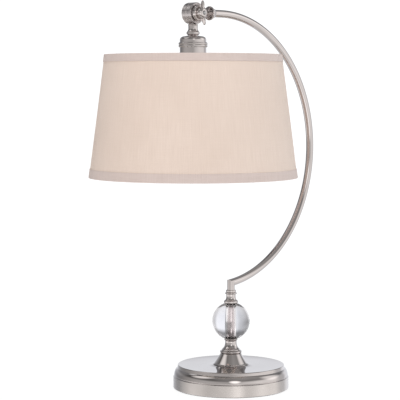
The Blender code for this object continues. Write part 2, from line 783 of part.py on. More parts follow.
def bulb():
    cap = [(0, -74.2), (4.6, -74.2), (4.6, -75.0), (12.4, -78.4), (13.2, -79.4), (13.2, -99.0), (11.0, -99.0)]
    cap += [(11.0, -84.0), (0, -84.0)]
    head_piece("bulb_cap", cap, "brass", SMALL_STEPS, closed=False)
    neck = -99.3
    belly = BULB_TIP + BULB_RADIUS
    outside = bend((12.9, neck), (14.0, -120.0), (24.8, -133.4), 3)
    outside += arc((0, belly), BULB_RADIUS, 24, -90, 6)
    outside[-1] = (0, BULB_TIP)
    skin = 0.8
    inside = [(0, BULB_TIP + skin)] + arc((0, belly), BULB_RADIUS - skin, -72, 24, 5)
    inside += bend((24.0, -133.8), (13.2, -120.4), (12.1, neck), 3)
    head_piece("bulb_glass", inside + outside, "bulb_glass", closed=False)


# Shade ----------------------------------------------------------------------------------------------


def shade_radius(drop, inset=0.0):
    """Radius of the shade's outer face at a height measured from the bolt, less an inset."""
    slope = (SHADE_END_RADIUS - SHADE_TOP_RADIUS) / (SHADE_END - SHADE_TOP)
    return SHADE_TOP_RADIUS + slope * (drop - SHADE_TOP) - inset


def shade_band(name, top, end, inset, thickness, look):
    """A conical band that follows the shade, between two heights."""
    outside = [(shade_radius(top, inset), top), (shade_radius(end, inset), end)]
    inside = [(shade_radius(z, inset + thickness), z) for z in (end, top)]
    return head_piece(name, outside + inside, look, WIDE_STEPS)


FABRIC_INSET = TRIM_THICKNESS + GAP
WIRE_INSET = FABRIC_INSET + FABRIC_THICKNESS + GAP + 0.2 + WIRE_RADIUS
FOLD_INSET = WIRE_INSET + WIRE_RADIUS + GAP


def shade_fabric():
    edge = TRIM_THICKNESS + GAP
    return shade_band(
        "shade_fabric", SHADE_TOP - edge, SHADE_END + edge, FABRIC_INSET, FABRIC_THICKNESS, "linen"
    )


def shade_trim(name, edge, width, fold, into):
    """Tape folded over an edge of the shade: a wide outer leg, a web and a short leg inside.

    The value of into is -1 where the shade lies below the edge and 1 where it lies above it.
    """
    web = edge + into * TRIM_THICKNESS
    foot = edge + into * width
    inner = edge + into * fold
    last = FOLD_INSET + TRIM_THICKNESS
    corners = [(0, edge), (0, foot), (TRIM_THICKNESS, foot), (TRIM_THICKNESS, web)]
    corners += [(FOLD_INSET, web), (FOLD_INSET, inner), (last, inner), (last, edge)]
    profile = [(shade_radius(z, inset), z) for inset, z in corners]
    if into > 0:
        profile.reverse()
    return head_piece(name, profile, "linen_trim", WIDE_STEPS)


def wire_ring(name, drop):
    middle = (shade_radius(drop, WIRE_INSET), drop)
    profile = arc(middle, WIRE_RADIUS, 150, -210, 6)[:-1]
    return head_piece(name, profile, "shade_wire", WIDE_STEPS)


def shade_spider():
    """Welded wire frame: the fitter ring, three spokes and the shade's top wire in one piece."""
    ring_top = CUP_END - GAP
    fitter = ring_profile(FITTER_BORE, FITTER_RADIUS, ring_top - FITTER_THICKNESS, ring_top)
    frame = head_piece("shade_spider", fitter, "shade_wire")
    drop = SHADE_TOP - TRIM_THICKNESS - GAP - WIRE_RADIUS
    rim = shade_radius(drop, WIRE_INSET)
    for i in range(SPOKES):
        turn = Matrix.Rotation(math.radians(90 + 360 * i / SPOKES), 3, "Z")
        route = [(22.4, 0, ring_top - 1.2), (30, 0, ring_top - 1.0), (rim - 8, 0, drop - 2.4)]
        route.append((rim - 0.4, 0, drop - 0.9))
        spoke = wire("spoke", [turn @ Vector(point) for point in route], WIRE_RADIUS, "shade_wire")
        spoke.location = Vector(AT_HEAD) * MM
        frame = combine(frame, spoke, "UNION")
    return combine(frame, wire_ring("top_wire", drop), "UNION")


def shade_ring():
    """Ring that screws onto the lampholder's skirt and clamps the spider against the cup."""
    top = CUP_END - FITTER_THICKNESS - 2 * GAP
    end = top - SHADE_RING_WIDTH
    outer = FITTER_RADIUS - 0.2
    profile = [
        (FITTER_BORE, top),
        (outer - 0.8, top),
        (outer, top - 0.8),
        (outer, end + 0.8),
        (outer - 0.8, end),
        (FITTER_BORE, end),
    ]
    return head_piece("shade_ring", profile, "dark_moulding")


# Assembly -------------------------------------------------------------------------------------------


def stand():
    base_pad()
    base_weight()
    base_shell()
    cord_bushing()
    threaded_rod()
    rod_fixings()
    base_bell()
    bell_collar()
    lower_ball_cup()
    ball_washers()
    crystal_ball()
    ball_sleeve()
    upper_ball_cup()
    post_collar()
    arm_tube()
    arm_ferrule()
    arm_eye()


def head():
    friction_washer()
    swivel_drum()
    drum_cap()
    clamp_bolt()
    wing_nut()
    socket_stem()
    stem_locknut()
    socket_cup()
    socket_ring()
    socket_liner()
    lampholder()
    bulb_contacts()
    switch_knob()
    bulb()
    shade_ring()
    shade_spider()
    shade_fabric()
    shade_trim("shade_top_trim", SHADE_TOP, TRIM_WIDTH_TOP, 2.0, -1)
    shade_trim("shade_bottom_trim", SHADE_END, TRIM_WIDTH_END, 7.0, 1)
    wire_ring("shade_bottom_wire", SHADE_END + TRIM_THICKNESS + GAP + WIRE_RADIUS)


def axis_empty(name, spot, names):
    """An empty on a joint's axis, with the pieces that turn about it as its children."""
    empty = bpy.data.objects.new(name, None)
    empty.location = Vector(spot) * MM
    empty.empty_display_size = 0.03
    bpy.data.collections[SOLIDS].objects.link(empty)
    bpy.context.view_layer.update()
    for child_name in names:
        child = bpy.data.objects[child_name]
        child.parent = empty
        child.matrix_parent_inverse = empty.matrix_world.inverted()
    return empty


def main():
    clear_scene()
    collection(SOLIDS)
    collection(CUTTERS, hidden=True)
    stand()
    stand_names = {piece.name for piece in bpy.data.collections[SOLIDS].objects}
    head()
    turning = {"wing_nut", "switch_knob"}
    hanging = {piece.name for piece in bpy.data.collections[SOLIDS].objects} - stand_names - turning
    axis_empty("stand_origin", (0, 0, 0), sorted(stand_names))
    tilt = axis_empty("tilt_axis", AT_JOINT, sorted(hanging))
    for name, spot, child in (
        ("nut_axis", AT_JOINT, "wing_nut"),
        ("switch_axis", switch_spot(), "switch_knob"),
    ):
        turner = axis_empty(name, spot, [child])
        turner.parent = tilt
        turner.matrix_parent_inverse = tilt.matrix_world.inverted()


main()
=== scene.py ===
"""Looks for the crystal-ball table lamp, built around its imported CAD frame.

The pieces that can be seen are rebuilt here with rounded edges, reeds, threads or ribs, in the space of
their CAD nodes; the hidden ones keep their CAD meshes. Lengths are in millimetres about each piece's own
axis, and become metres where a mesh is made. The lights and the camera are placed in metres.
"""

import json
import math

import bmesh
import bpy
from mathutils import Matrix, Vector


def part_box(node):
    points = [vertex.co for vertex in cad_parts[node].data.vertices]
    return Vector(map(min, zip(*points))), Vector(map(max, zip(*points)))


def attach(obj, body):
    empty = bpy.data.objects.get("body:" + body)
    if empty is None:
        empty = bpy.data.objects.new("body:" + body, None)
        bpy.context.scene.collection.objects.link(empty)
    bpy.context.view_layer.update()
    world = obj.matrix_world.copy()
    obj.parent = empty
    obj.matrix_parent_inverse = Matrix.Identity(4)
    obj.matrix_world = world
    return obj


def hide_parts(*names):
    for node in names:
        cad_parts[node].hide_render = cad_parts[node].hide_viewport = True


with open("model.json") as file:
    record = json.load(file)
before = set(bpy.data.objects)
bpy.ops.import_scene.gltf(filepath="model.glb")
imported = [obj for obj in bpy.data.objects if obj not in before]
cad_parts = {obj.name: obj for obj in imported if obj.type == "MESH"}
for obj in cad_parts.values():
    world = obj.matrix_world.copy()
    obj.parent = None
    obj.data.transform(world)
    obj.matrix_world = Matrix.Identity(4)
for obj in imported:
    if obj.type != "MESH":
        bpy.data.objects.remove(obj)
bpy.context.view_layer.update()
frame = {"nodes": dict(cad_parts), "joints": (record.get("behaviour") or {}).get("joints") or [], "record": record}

MM = 0.001
GAP = 0.3  # clearance between CAD pieces that touch
ROD_HOLE = 5.3
BOLT_HOLE = 3.4
CORD_BARREL = 3.6
SEAT_RADIUS = 10.2
CUP_LIP = 33.1  # from the ball's centre to the middle of each cup
FERRULE_HOLE = 5.5
DRUM_WALL = 2.4
STEM_THREAD = 4.7
STEM_HOLE = 5.2
SWITCH_HOLE = 3.4

ROUND = 96  # sides of a turned piece
WIDE = 160  # sides of the base and the shade
CORNER_STEPS = 3

RECORD = frame["record"]
BODY_OF = {node: body for body, nodes in RECORD["behaviour"]["bodies"].items() for node in nodes}
SLOT_OF = {part["node"]: part["material_slot"] for part in RECORD["subparts"]}
TILT = next(joint for joint in frame["joints"] if joint["name"] == "head_tilt")


def limits(node):
    """The lowest and highest corner of a CAD node, in millimetres."""
    low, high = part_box(node)
    return low / MM, high / MM


def heights(node):
    low, high = limits(node)
    return low.z, high.z


def width(node):
    """Half of a CAD node's width along Y."""
    low, high = limits(node)
    return (high.y - low.y) / 2


def centre(node):
    return sum(limits(node), Vector()) / 2


JOINT = Vector(TILT["pos_m"]) / MM
HEAD = Vector((JOINT.x, centre("socket_cup").y, JOINT.z))
SWITCH = Vector((JOINT.x, HEAD.y, centre("switch_knob").z))
BALL = centre("crystal_ball")
DRUM_RADIUS = (heights("swivel_drum")[1] - heights("swivel_drum")[0]) / 2

UPRIGHT = Matrix.Identity(4)
ALONG_BOLT = Matrix.Rotation(math.radians(-90), 4, "X")  # heights run towards +Y
OUT_OF_EYE = Matrix.Rotation(math.radians(90), 4, "X")  # heights run towards -Y
BACK_ALONG_ARM = Matrix.Rotation(math.radians(-90), 4, "Y")  # heights run towards -X
INTO_ARM = Matrix.Rotation(math.radians(90), 4, "Y")  # heights run towards +X
SWITCH_PLACE = Matrix.Translation((SWITCH - HEAD) * MM) @ BACK_ALONG_ARM


def drops(node):
    """The lowest and highest point of a CAD node, measured up from the bolt."""
    low, high = heights(node)
    return low - HEAD.z, high - HEAD.z


# Shapes -------------------------------


def arc(middle, radius, first, last, steps):
    """Points of a circular arc in a profile; angles in degrees, 0 outwards and 90 up."""
    turns = [math.radians(first + (last - first) * i / steps) for i in range(steps + 1)]
    return [(middle[0] + radius * math.cos(a), middle[1] + radius * math.sin(a)) for a in turns]


def bend(start, pull, end, steps=14):
    """Points of a quadratic curve from start to end, drawn towards pull."""
    points = []
    for i in range(steps + 1):
        t = i / steps
        shares = ((1 - t) ** 2, 2 * t * (1 - t), t * t)
        points.append(tuple(sum(s * p[k] for s, p in zip(shares, (start, pull, end))) for k in (0, 1)))
    return points


def ring_profile(inner, outer, low, high):
    return [(inner, high), (outer, high), (outer, low), (inner, low)]


def rows(radius, high, low, step=0.4):
    """Closely spaced points down a straight wall, for a thread to shape."""
    count = int((high - low) / step)
    return [(radius, high - (high - low) * i / count) for i in range(1, count)]


def rounded(profile, radius, closed):
    """Rounds every clear corner of a profile, with less where its sides are short."""
    result = []
    count = len(profile)
    for i, point in enumerate(profile):
        if not closed and i in (0, count - 1):
            result.append(point)
            continue
        here = Vector(point)
        before = Vector(profile[i - 1]) - here
        after = Vector(profile[(i + 1) % count]) - here
        if before.angle(after) > math.radians(158):
            result.append(point)
            continue
        reach = min(radius, 0.42 * before.length, 0.42 * after.length)
        start = here + before.normalized() * reach
        end = here + after.normalized() * reach
        result += bend(tuple(start), tuple(here), tuple(end), CORNER_STEPS)
    return result


def in_turn(rings, closed=False):
    """Each ring with the next one, and the last with the first where they close up."""
    return list(zip(rings, rings[1:] + rings[:1] if closed else rings[1:]))


def bridge(shape, pairs):
    """Faces between pairs of rings. A ring of a single point gives triangles."""
    for near, far in pairs:
        steps = max(len(near), len(far))
        if steps == 1:
            continue
        for k in range(steps):
            after = (k + 1) % steps
            places = ((near, k), (near, after), (far, after), (far, k))
            corners = [ring[i % len(ring)] for ring, i in places]
            shape.faces.new(list(dict.fromkeys(corners)))


def rings_along(shape, path, sides, radius):
    """Round rings on a path, where each middle comes with the two directions across it."""
    rings = []
    for middle, first, second in path:
        ring = []
        for k in range(sides):
            angle = 2 * math.pi * k / sides
            out = (first * math.cos(angle) + second * math.sin(angle)) * radius
            ring.append(shape.verts.new((middle + out) * MM))
        rings.append(ring)
    return rings


def finished(shape, name, sharp=40):
    """A smooth-shaded mesh from a bmesh, with faces turned outwards."""
    bmesh.ops.remove_doubles(shape, verts=shape.verts, dist=0.002 * MM)
    bmesh.ops.recalc_face_normals(shape, faces=shape.faces)
    mesh = bpy.data.meshes.new(name)
    shape.to_mesh(mesh)
    shape.free()
    mesh.shade_smooth()
    mesh.set_sharp_from_angle(angle=math.radians(sharp))
    return mesh


def turned_mesh(name, profile, closed=True, edge=0.3, steps=ROUND, ripple=None):
    """A turned mesh. The profile is (radius, height); an open one starts and ends on the axis.

    A ripple takes radius, height and angle, and gives the radius that reeds or threads change it to.
    """
    shape = bmesh.new()
    rings = []
    for radius, height in rounded(profile, edge, closed):
        if radius < 0.001:
            rings.append([shape.verts.new((0, 0, height * MM))])
            continue
        ring = []
        for k in range(steps):
            angle = 2 * math.pi * k / steps
            out = (ripple(radius, height, angle) if ripple else radius) * MM
            ring.append(shape.verts.new((out * math.cos(angle), out * math.sin(angle), height * MM)))
        rings.append(ring)
    bridge(shape, in_turn(rings, closed))
    return finished(shape, name)


def plug(radius, low, high, steps=32):
    """A plain solid cylinder to cut a hole with."""
    return turned_mesh("plug", ring_profile(0, radius, low, high), False, 0, steps)


def capped(shape, rings, name):
    """A closed bar through rings, with flat ends."""
    bridge(shape, in_turn(rings))
    shape.faces.new(rings[0])
    shape.faces.new(rings[-1])
    return finished(shape, name)


def add(name, data):
    made = bpy.data.objects.new(name, data)
    bpy.context.scene.collection.objects.link(made)
    return made


def boolean(base, cutter, operation, place=UPRIGHT):
    """The exact union or difference of two meshes, with the second placed by a matrix."""
    kept, other = (add(mesh.name, mesh) for mesh in (base, cutter))
    other.matrix_world = place
    tool = kept.modifiers.new("tool", "BOOLEAN")
    tool.operation = operation
    tool.solver = "EXACT"
    tool.object = other
    bpy.context.view_layer.update()
    ready = kept.evaluated_get(bpy.context.evaluated_depsgraph_get())
    shape = bmesh.new()
    shape.from_mesh(ready.to_mesh())
    ready.to_mesh_clear()
    for made in (kept, other):
        bpy.data.objects.remove(made)
    return finished(shape, base.name)


def dress(node, mesh, spot=(0, 0, 0), turn=UPRIGHT):
    """Puts a rebuilt mesh in the place of its CAD node, on the same body and with its finish."""
    piece = add(node + "_detail", mesh)
    piece.matrix_world = Matrix.Translation(Vector(spot) * MM) @ turn
    even = piece.modifiers.new("even_shading", "WEIGHTED_NORMAL")
    even.keep_sharp = True
    mesh.materials.clear()
    mesh.materials.append(bpy.data.materials[SLOT_OF[node]])
    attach(piece, BODY_OF[node])
    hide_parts(node)
    return piece


def turned(node, profile, closed=True, spot=(0, 0, 0), turn=UPRIGHT, **how):
    return dress(node, turned_mesh(node, profile, closed, **how), spot, turn)


def recoat(piece, material, chosen):
    """A second material on the faces that a test of their middle, in millimetres, and normal picks."""
    piece.data.materials.append(bpy.data.materials[material])
    for face in piece.data.polygons:
        if chosen(face.center / MM, face.normal):
            face.material_index = 1


def screw_thread(radius, pitch, depth):
    """A ripple that winds a rounded thread round a wall of the given radius."""

    def helix(out, height, angle):
        if abs(out - radius) > 0.02:
            return out
        phase = 2 * math.pi * (height / pitch) + angle
        return out - depth * (0.5 - 0.5 * math.cos(phase))

    return helix


def ribs(radius, count, depth):
    """A ripple of upright grip ribs on the walls that lie beyond the given radius."""

    def ripple(out, _height, angle):
        return out - depth * (0.5 - 0.5 * math.cos(count * angle)) if out > radius else out

    return ripple


# Materials ----------------------------


class Graph:
    """Short ways to add shader nodes to one material, or to the world."""

    def __init__(self, name, world=None):
        self.material = world or bpy.data.materials.get(name) or bpy.data.materials.new(name)
        self.material.use_nodes = True
        self.tree = self.material.node_tree
        self.tree.nodes.clear()
        places = self.tree.nodes.new("ShaderNodeTexCoord").outputs
        if world:
            self.output = self.tree.nodes.new("ShaderNodeOutputWorld")
            self.place = places["Generated"]
            return
        self.output = self.tree.nodes.new("ShaderNodeOutputMaterial")
        self.shader = self.tree.nodes.new("ShaderNodeBsdfPrincipled")
        self.link(self.shader.outputs["BSDF"], self.output.inputs["Surface"])
        self.place = places["Object"]

    def link(self, source, target):
        self.tree.links.new(source, target)

    def set(self, **values):
        for name, value in values.items():
            self.shader.inputs[name.replace("_", " ")].default_value = value

    def feed(self, socket, value):
        """Links an output to a socket, or sets the socket to a plain number or colour."""
        if isinstance(value, bpy.types.NodeSocket):
            self.link(value, socket)
        elif isinstance(value, tuple):
            socket.default_value = (*value, 1.0)
        else:
            socket.default_value = value

    def math(self, operation, *values):
        node = self.tree.nodes.new("ShaderNodeMath")
        node.operation = operation
        for socket, value in zip(node.inputs, values):
            self.feed(socket, value)
        return node.outputs[0]

    def plus(self, first, second):
        return self.math("ADD", first, second)

    def times(self, first, second):
        return self.math("MULTIPLY", first, second)

    def dot(self, axis):
        """How far the place or direction lies along an axis."""
        node = self.tree.nodes.new("ShaderNodeVectorMath")
        node.operation = "DOT_PRODUCT"
        self.link(self.place, node.inputs[0])
        node.inputs[1].default_value = axis
        return node.outputs["Value"]

    def join(self, x, y, z):
        node = self.tree.nodes.new("ShaderNodeCombineXYZ")
        for socket, value in zip(node.inputs, (x, y, z)):
            self.feed(socket, value)
        return node.outputs[0]

    def round_the_axis(self):
        """Distance from the piece's axis, angle about it and height along it, as three outputs."""
        node = self.tree.nodes.new("ShaderNodeSeparateXYZ")
        self.link(self.place, node.inputs[0])
        x, y, z = node.outputs
        radius = self.math("SQRT", self.plus(self.times(x, x), self.times(y, y)))
        return radius, self.math("ARCTAN2", y, x), z

    def noise(self, scale, detail=2.0, vector=None, distortion=0.0):
        node = self.tree.nodes.new("ShaderNodeTexNoise")
        self.link(vector or self.place, node.inputs["Vector"])
        node.inputs["Scale"].default_value = scale
        node.inputs["Detail"].default_value = detail
        node.inputs["Distortion"].default_value = distortion
        return node.outputs["Fac"]

    def span(self, value, low, high, source=(0.0, 1.0)):
        """A value rescaled from a source range to one from low to high, and kept within it."""
        node = self.tree.nodes.new("ShaderNodeMapRange")
        self.link(value, node.inputs["Value"])
        for name, number in zip(("From Min", "From Max", "To Min", "To Max"), (*source, low, high)):
            node.inputs[name].default_value = number
        return node.outputs["Result"]

    def blend(self, share, first, second):
        node = self.tree.nodes.new("ShaderNodeMix")
        node.data_type = "RGBA"
        for socket, value in zip((node.inputs["Factor"], *node.inputs[6:8]), (share, first, second)):
            self.feed(socket, value)
        return node.outputs[2]

    def paint(self, pattern, window, first, second):
        """Base colour that goes from the first to the second as a pattern crosses a window of values."""
        colour = self.blend(self.span(pattern, 0, 1, window), first, second)
        self.link(colour, self.shader.inputs["Base Color"])

    def polish(self, pattern, smooth, rough, window=(0.3, 0.7)):
        """Roughness that goes from smooth to rough in the same way."""
        self.link(self.span(pattern, smooth, rough, window), self.shader.inputs["Roughness"])

    def bump(self, height, distance):
        node = self.tree.nodes.new("ShaderNodeBump")
        node.inputs["Distance"].default_value = distance
        self.link(height, node.inputs["Height"])
        self.link(node.outputs["Normal"], self.shader.inputs["Normal"])

    def background(self, strength, colour):
        node = self.tree.nodes.new("ShaderNodeBackground")
        self.feed(node.inputs["Color"], colour)
        self.feed(node.inputs["Strength"], strength)
        return node.outputs[0]

    def for_camera(self, others, camera, most=1.0):
        """A mix of two shaders: the second one, up to a share, where the camera looks straight at it."""
        mix = self.tree.nodes.new("ShaderNodeMixShader")
        rays = self.tree.nodes.new("ShaderNodeLightPath").outputs
        self.feed(mix.inputs["Fac"], self.times(rays["Is Camera Ray"], most))
        self.link(others, mix.inputs[1])
        self.link(camera, mix.inputs[2])
        return mix.outputs[0]


def plated(name, bright, dull, smooth, rough, ring_depth):
    """Plated metal: turning rings round the piece's axis, hazy patches and a slight change of tone."""
    graph = Graph(name)
    radius, angle, height = graph.round_the_axis()
    rings_per_metre = 900.0
    around = graph.times(angle, 1.4)
    rings = graph.join(graph.times(radius, rings_per_metre), around, height)
    bands = graph.join(graph.times(height, rings_per_metre), around, radius)
    fine = graph.times(graph.plus(graph.noise(1.0, 3, rings), graph.noise(1.0, 3, bands)), 0.5)
    haze = graph.noise(26.0, 4)
    graph.paint(haze, (0.35, 0.7), bright, dull)
    both = graph.plus(graph.span(fine, -0.5, 0.5, (0.3, 0.7)), graph.span(haze, -0.4, 0.4, (0.3, 0.7)))
    graph.polish(both, smooth, rough, (-0.8, 0.8))
    graph.set(Metallic=1.0)
    graph.bump(fine, ring_depth)
    return graph


def metal(name, colour, dark, smooth, rough, grain=300.0):
    """Plain metal with a fine even grain and a few darker patches."""
    graph = Graph(name)
    fine = graph.noise(grain, 4)
    graph.paint(graph.noise(40.0, 3), (0.4, 0.75), colour, dark)
    graph.polish(fine, smooth, rough)
    graph.set(Metallic=1.0)
    graph.bump(fine, 2e-5)


def moulded(name, colour, light, smooth, rough):
    """Moulded plastic or rubber with a fine grain and faint flow marks."""
    graph = Graph(name)
    fine = graph.noise(900.0, 3)
    graph.paint(graph.noise(18.0, 2, distortion=1.5), (0.35, 0.7), colour, light)
    graph.polish(fine, smooth, rough)
    graph.bump(fine, 3e-5)


def glass(name, colour, rough, ior):
    """Clear or frosted glass with faint wipe marks."""
    graph = Graph(name)
    graph.polish(graph.noise(60.0, 3), rough * 0.6, rough * 1.4)
    graph.set(Base_Color=(*colour, 1.0), IOR=ior, Transmission_Weight=1.0)


def woven(name, light, shade, slub, pitch, depth):
    """Linen: threads both ways, thick slubs along the upright ones, and a cloudy change of tone."""
    graph = Graph(name)
    radius, angle, height = graph.round_the_axis()
    mean_radius = 0.165
    across_threads, along_threads = 1300.0, 24.0  # the marks' changes in each metre
    across = graph.times(angle, mean_radius)
    wobble = graph.span(graph.noise(90.0, 2), -0.6 * pitch, 0.6 * pitch, (0.3, 0.7))
    turns = 2 * math.pi / pitch
    warp = graph.math("SINE", graph.times(graph.plus(across, wobble), turns))
    weft = graph.math("SINE", graph.times(graph.plus(height, wobble), turns))
    threads = graph.span(graph.times(warp, weft), 0, 1, (-1, 1))
    upright = graph.join(graph.times(across, across_threads), graph.times(height, along_threads), radius)
    level = graph.join(graph.times(across, along_threads), graph.times(height, across_threads), radius)
    slubs = graph.span(graph.noise(1.0, 3, upright), 0, 1, (0.35, 0.72))
    picks = graph.span(graph.noise(1.0, 3, level), 0, 1, (0.35, 0.72))
    cloth = graph.blend(graph.span(graph.noise(9.0, 3), 0, 1, (0.3, 0.7)), light, shade)
    for marks, share in ((slubs, 0.55), (picks, 0.25)):
        cloth = graph.blend(graph.times(marks, share), cloth, slub)
    graph.link(cloth, graph.shader.inputs["Base Color"])
    graph.bump(graph.plus(graph.times(threads, 0.6), graph.times(slubs, 0.9)), depth)
    graph.set(Roughness=0.92, Sheen_Weight=0.25, Sheen_Roughness=0.45, Specular_IOR_Level=0.25)


def lining():
    """Stiff off-white lining on the inside of the shade, with a faint grain."""
    graph = Graph("shade_lining")
    grain = graph.noise(500.0, 3)
    graph.paint(grain, (0.3, 0.7), (0.74, 0.71, 0.67), (0.68, 0.65, 0.61))
    graph.set(Roughness=0.7, Specular_IOR_Level=0.35)
    graph.bump(grain, 4e-5)


def felt():
    """Black wool felt with small tufts."""
    graph = Graph("felt")
    graph.paint(graph.noise(160.0, 3), (0.3, 0.7), (0.012, 0.012, 0.013), (0.035, 0.034, 0.034))
    graph.set(Roughness=0.95, Sheen_Weight=0.15, Sheen_Roughness=0.4)
    graph.bump(graph.noise(1600.0, 5, distortion=2.0), 0.0003)


def card():
    """Insulating card with visible fibres."""
    graph = Graph("card")
    fibres = graph.noise(700.0, 4, distortion=1.0)
    graph.paint(fibres, (0.3, 0.7), (0.40, 0.34, 0.26), (0.52, 0.46, 0.37))
    graph.set(Roughness=0.85)
    graph.bump(fibres, 5e-5)


def cast_iron():
    """Sand-cast iron with a little rust."""
    graph = Graph("cast_iron")
    sand = graph.noise(500.0, 5)
    graph.paint(graph.noise(30.0, 4), (0.55, 0.75), (0.06, 0.06, 0.06), (0.13, 0.07, 0.04))
    graph.polish(sand, 0.6, 0.85)
    graph.set(Metallic=0.7)
    graph.bump(sand, 0.0004)


def materials():
    """Every finish, and the frame's own pieces dressed in theirs."""
    plated("polished_nickel", (0.675, 0.632, 0.625), (0.635, 0.59, 0.58), 0.02, 0.06, 1e-6)
    plated("grooved_nickel", (0.69, 0.65, 0.65), (0.62, 0.58, 0.58), 0.20, 0.30, 2e-6)
    satin = plated("satin_nickel", (0.725, 0.68, 0.66), (0.685, 0.64, 0.62), 0.24, 0.32, 1e-6)
    satin.set(Anisotropic=0.9, Anisotropic_Rotation=0.25)
    metal("zinc_steel", (0.55, 0.55, 0.56), (0.42, 0.42, 0.43), 0.26, 0.42)
    metal("brass", (0.78, 0.58, 0.27), (0.60, 0.40, 0.17), 0.20, 0.36)
    metal("shade_wire", (0.70, 0.69, 0.67), (0.62, 0.61, 0.59), 0.34, 0.50, grain=700.0)
    moulded("dark_moulding", (0.035, 0.028, 0.024), (0.05, 0.04, 0.034), 0.30, 0.45)
    moulded("black_plastic", (0.02, 0.02, 0.02), (0.035, 0.035, 0.035), 0.40, 0.55)
    moulded("clear_washer", (0.66, 0.66, 0.64), (0.75, 0.75, 0.73), 0.40, 0.55)
    glass("crystal", (0.985, 0.968, 0.99), 0.004, 1.52)
    glass("bulb_glass", (0.95, 0.95, 0.93), 0.35, 1.45)
    # linen and linen_trim are one cloth. The gap between them is painted light: the cone is painted lighter, for
    # light shining through its single layer, and the folded tape darker, as painted shade
    woven("linen", (0.84, 0.70, 0.615), (0.80, 0.66, 0.575), (0.72, 0.58, 0.495), 0.0007, 0.00025)
    woven("linen_trim", (0.70, 0.59, 0.55), (0.66, 0.55, 0.51), (0.60, 0.49, 0.45), 0.0006, 0.0002)
    lining()
    felt()
    card()
    cast_iron()
    for node, piece in frame["nodes"].items():
        piece.data.materials.clear()
        piece.data.materials.append(bpy.data.materials[SLOT_OF[node]])


# Base ---------------------------------


def base_pad():
    foot, top = heights("base_pad")
    profile = ring_profile(0, width("base_pad"), foot, top)
    turned("base_pad", profile, False, edge=0.8, steps=WIDE)


def cord_inlet():
    """Height of the cord's way in, and the turn that lays heights outwards along it."""
    spot = centre("cord_bushing")
    return spot.z, Vector((spot.x, spot.y, 0)).to_track_quat("Z", "Y").to_matrix().to_4x4()


def base_shell():
    """Spun shell with an upright band, a groove, a rounded shoulder and a shallow dish of a plate."""
    radius = width("base_shell")
    foot, top = heights("base_shell")
    wall = 1.2
    bore = radius - wall - 0.2
    band_top = 21.4
    shoulder_foot = radius - 1.1
    shoulder_top = top - 5.7
    plate = radius - 12.2
    rim = plate + 4.6
    lip = 1.4
    dish = top - 0.8
    seat = width("base_bell")
    outside = [(ROD_HOLE, top)] + bend((seat + 1.0, top), (seat + 5.0, dish), (seat + 12.0, dish))
    outside += bend((seat + 16.0, dish), (rim - 18.0, dish), (rim - lip, top + 0.1))
    outside += arc((rim - lip, top + 0.1 - lip), lip, 86, 0, 10)
    pull = (shoulder_foot - 1.0, shoulder_top - 2.4)
    outside += bend((rim + 0.4, shoulder_top), pull, (shoulder_foot, band_top + 2.0))
    outside += [(shoulder_foot - 0.5, band_top + 1.5), (shoulder_foot - 0.6, band_top + 0.5)]
    outside += [(radius - 0.6, band_top), (radius, band_top - 0.7)]
    outside += [(radius, foot + 0.7), (radius - 0.6, foot)]
    inside = [(bore, foot), (bore, band_top - 1.2), (shoulder_foot - 1.8, band_top + 3.0)]
    inside += [(shoulder_foot - 5.0, shoulder_top - 3.6), (rim - 1.5, shoulder_top - wall)]
    inside += [(rim - 1.5, shoulder_top + 1.4), (plate - 0.4, top - wall), (ROD_HOLE, top - wall)]
    mesh = turned_mesh("base_shell", outside + inside, edge=0.35, steps=WIDE)
    height, out = cord_inlet()
    place = Matrix.Translation((0, 0, height * MM)) @ out
    shell = dress("base_shell", boolean(mesh, plug(CORD_BARREL + GAP, 80, 120), "DIFFERENCE", place))

    def on_band(middle, _normal):
        upright = foot + 0.6 < middle.z < band_top - 0.6
        return upright and math.hypot(middle.x, middle.y) > radius - 0.4

    recoat(shell, "satin_nickel", on_band)


def cord_bushing():
    """Flanged bushing in the band's wall, its heights measured out from the base's axis."""
    face = width("base_shell")
    flange = [(4.6, face + 2.0), (5.4, face + 1.2), (5.4, face + 0.4), (CORD_BARREL, face + 0.4)]
    barrel = [(CORD_BARREL, face - 5.5), (2.4, face - 5.5), (2.4, face + 2.0)]
    height, out = cord_inlet()
    turned("cord_bushing", flange + barrel, spot=(0, 0, height), turn=out, edge=0.5, steps=48)


def base_bell():
    """Flared bell with a thin wall and a flat top."""
    foot, top = heights("base_bell")
    wide = width("base_bell")
    neck = 18.2
    outside = [(ROD_HOLE, top), (neck - 0.6, top)]
    outside += bend((neck, top - 0.7), (23.4, top - 9.8), (wide - 2.2, foot + 2.0), 22)
    outside += [(wide, foot + 0.8), (wide, foot)]
    inside = bend((wide - 2.4, foot), (21.4, top - 9.6), (neck - 2.0, top - 1.6), 10)
    turned("base_bell", outside + inside + [(ROD_HOLE, top - 1.6)], edge=0.4)


def bell_collar():
    foot, top = heights("bell_collar")
    bead = (top - foot) / 2
    edge = arc((width("bell_collar") - bead, foot + bead), bead, 82, -82, 16)
    turned("bell_collar", [(ROD_HOLE, top)] + edge + [(ROD_HOLE, foot)])


# Ball and cups ------------------------


def crystal_ball():
    """Bored ball. Its ends, which the washers cover, take the washers' pale finish: partly the washers' own colour
    seen through the glass, partly painted light laid over the shade in the cups' recesses.
    """
    radius = width("crystal_ball")
    bore = 7.0
    turn = math.degrees(math.acos(bore / radius))
    ball = arc((0, 0), radius, turn, -turn, 72)
    crystal = turned("crystal_ball", ball, spot=(0, 0, BALL.z), edge=0.35, steps=128)
    crystal.visible_shadow = False  # light reaches the sleeve and washers inside

    def covered(middle, _normal):
        return bore + 0.1 < math.hypot(middle.x, middle.y) < SEAT_RADIUS

    # painted light: the ends take the washers' pale finish so the shade in the cups' recesses doesn't show through
    # the glass
    recoat(crystal, "clear_washer", covered)


def ball_sleeve():
    foot, top = heights("ball_sleeve")
    turned("ball_sleeve", ring_profile(ROD_HOLE, 6.35, foot - BALL.z, top - BALL.z), spot=(0, 0, BALL.z))


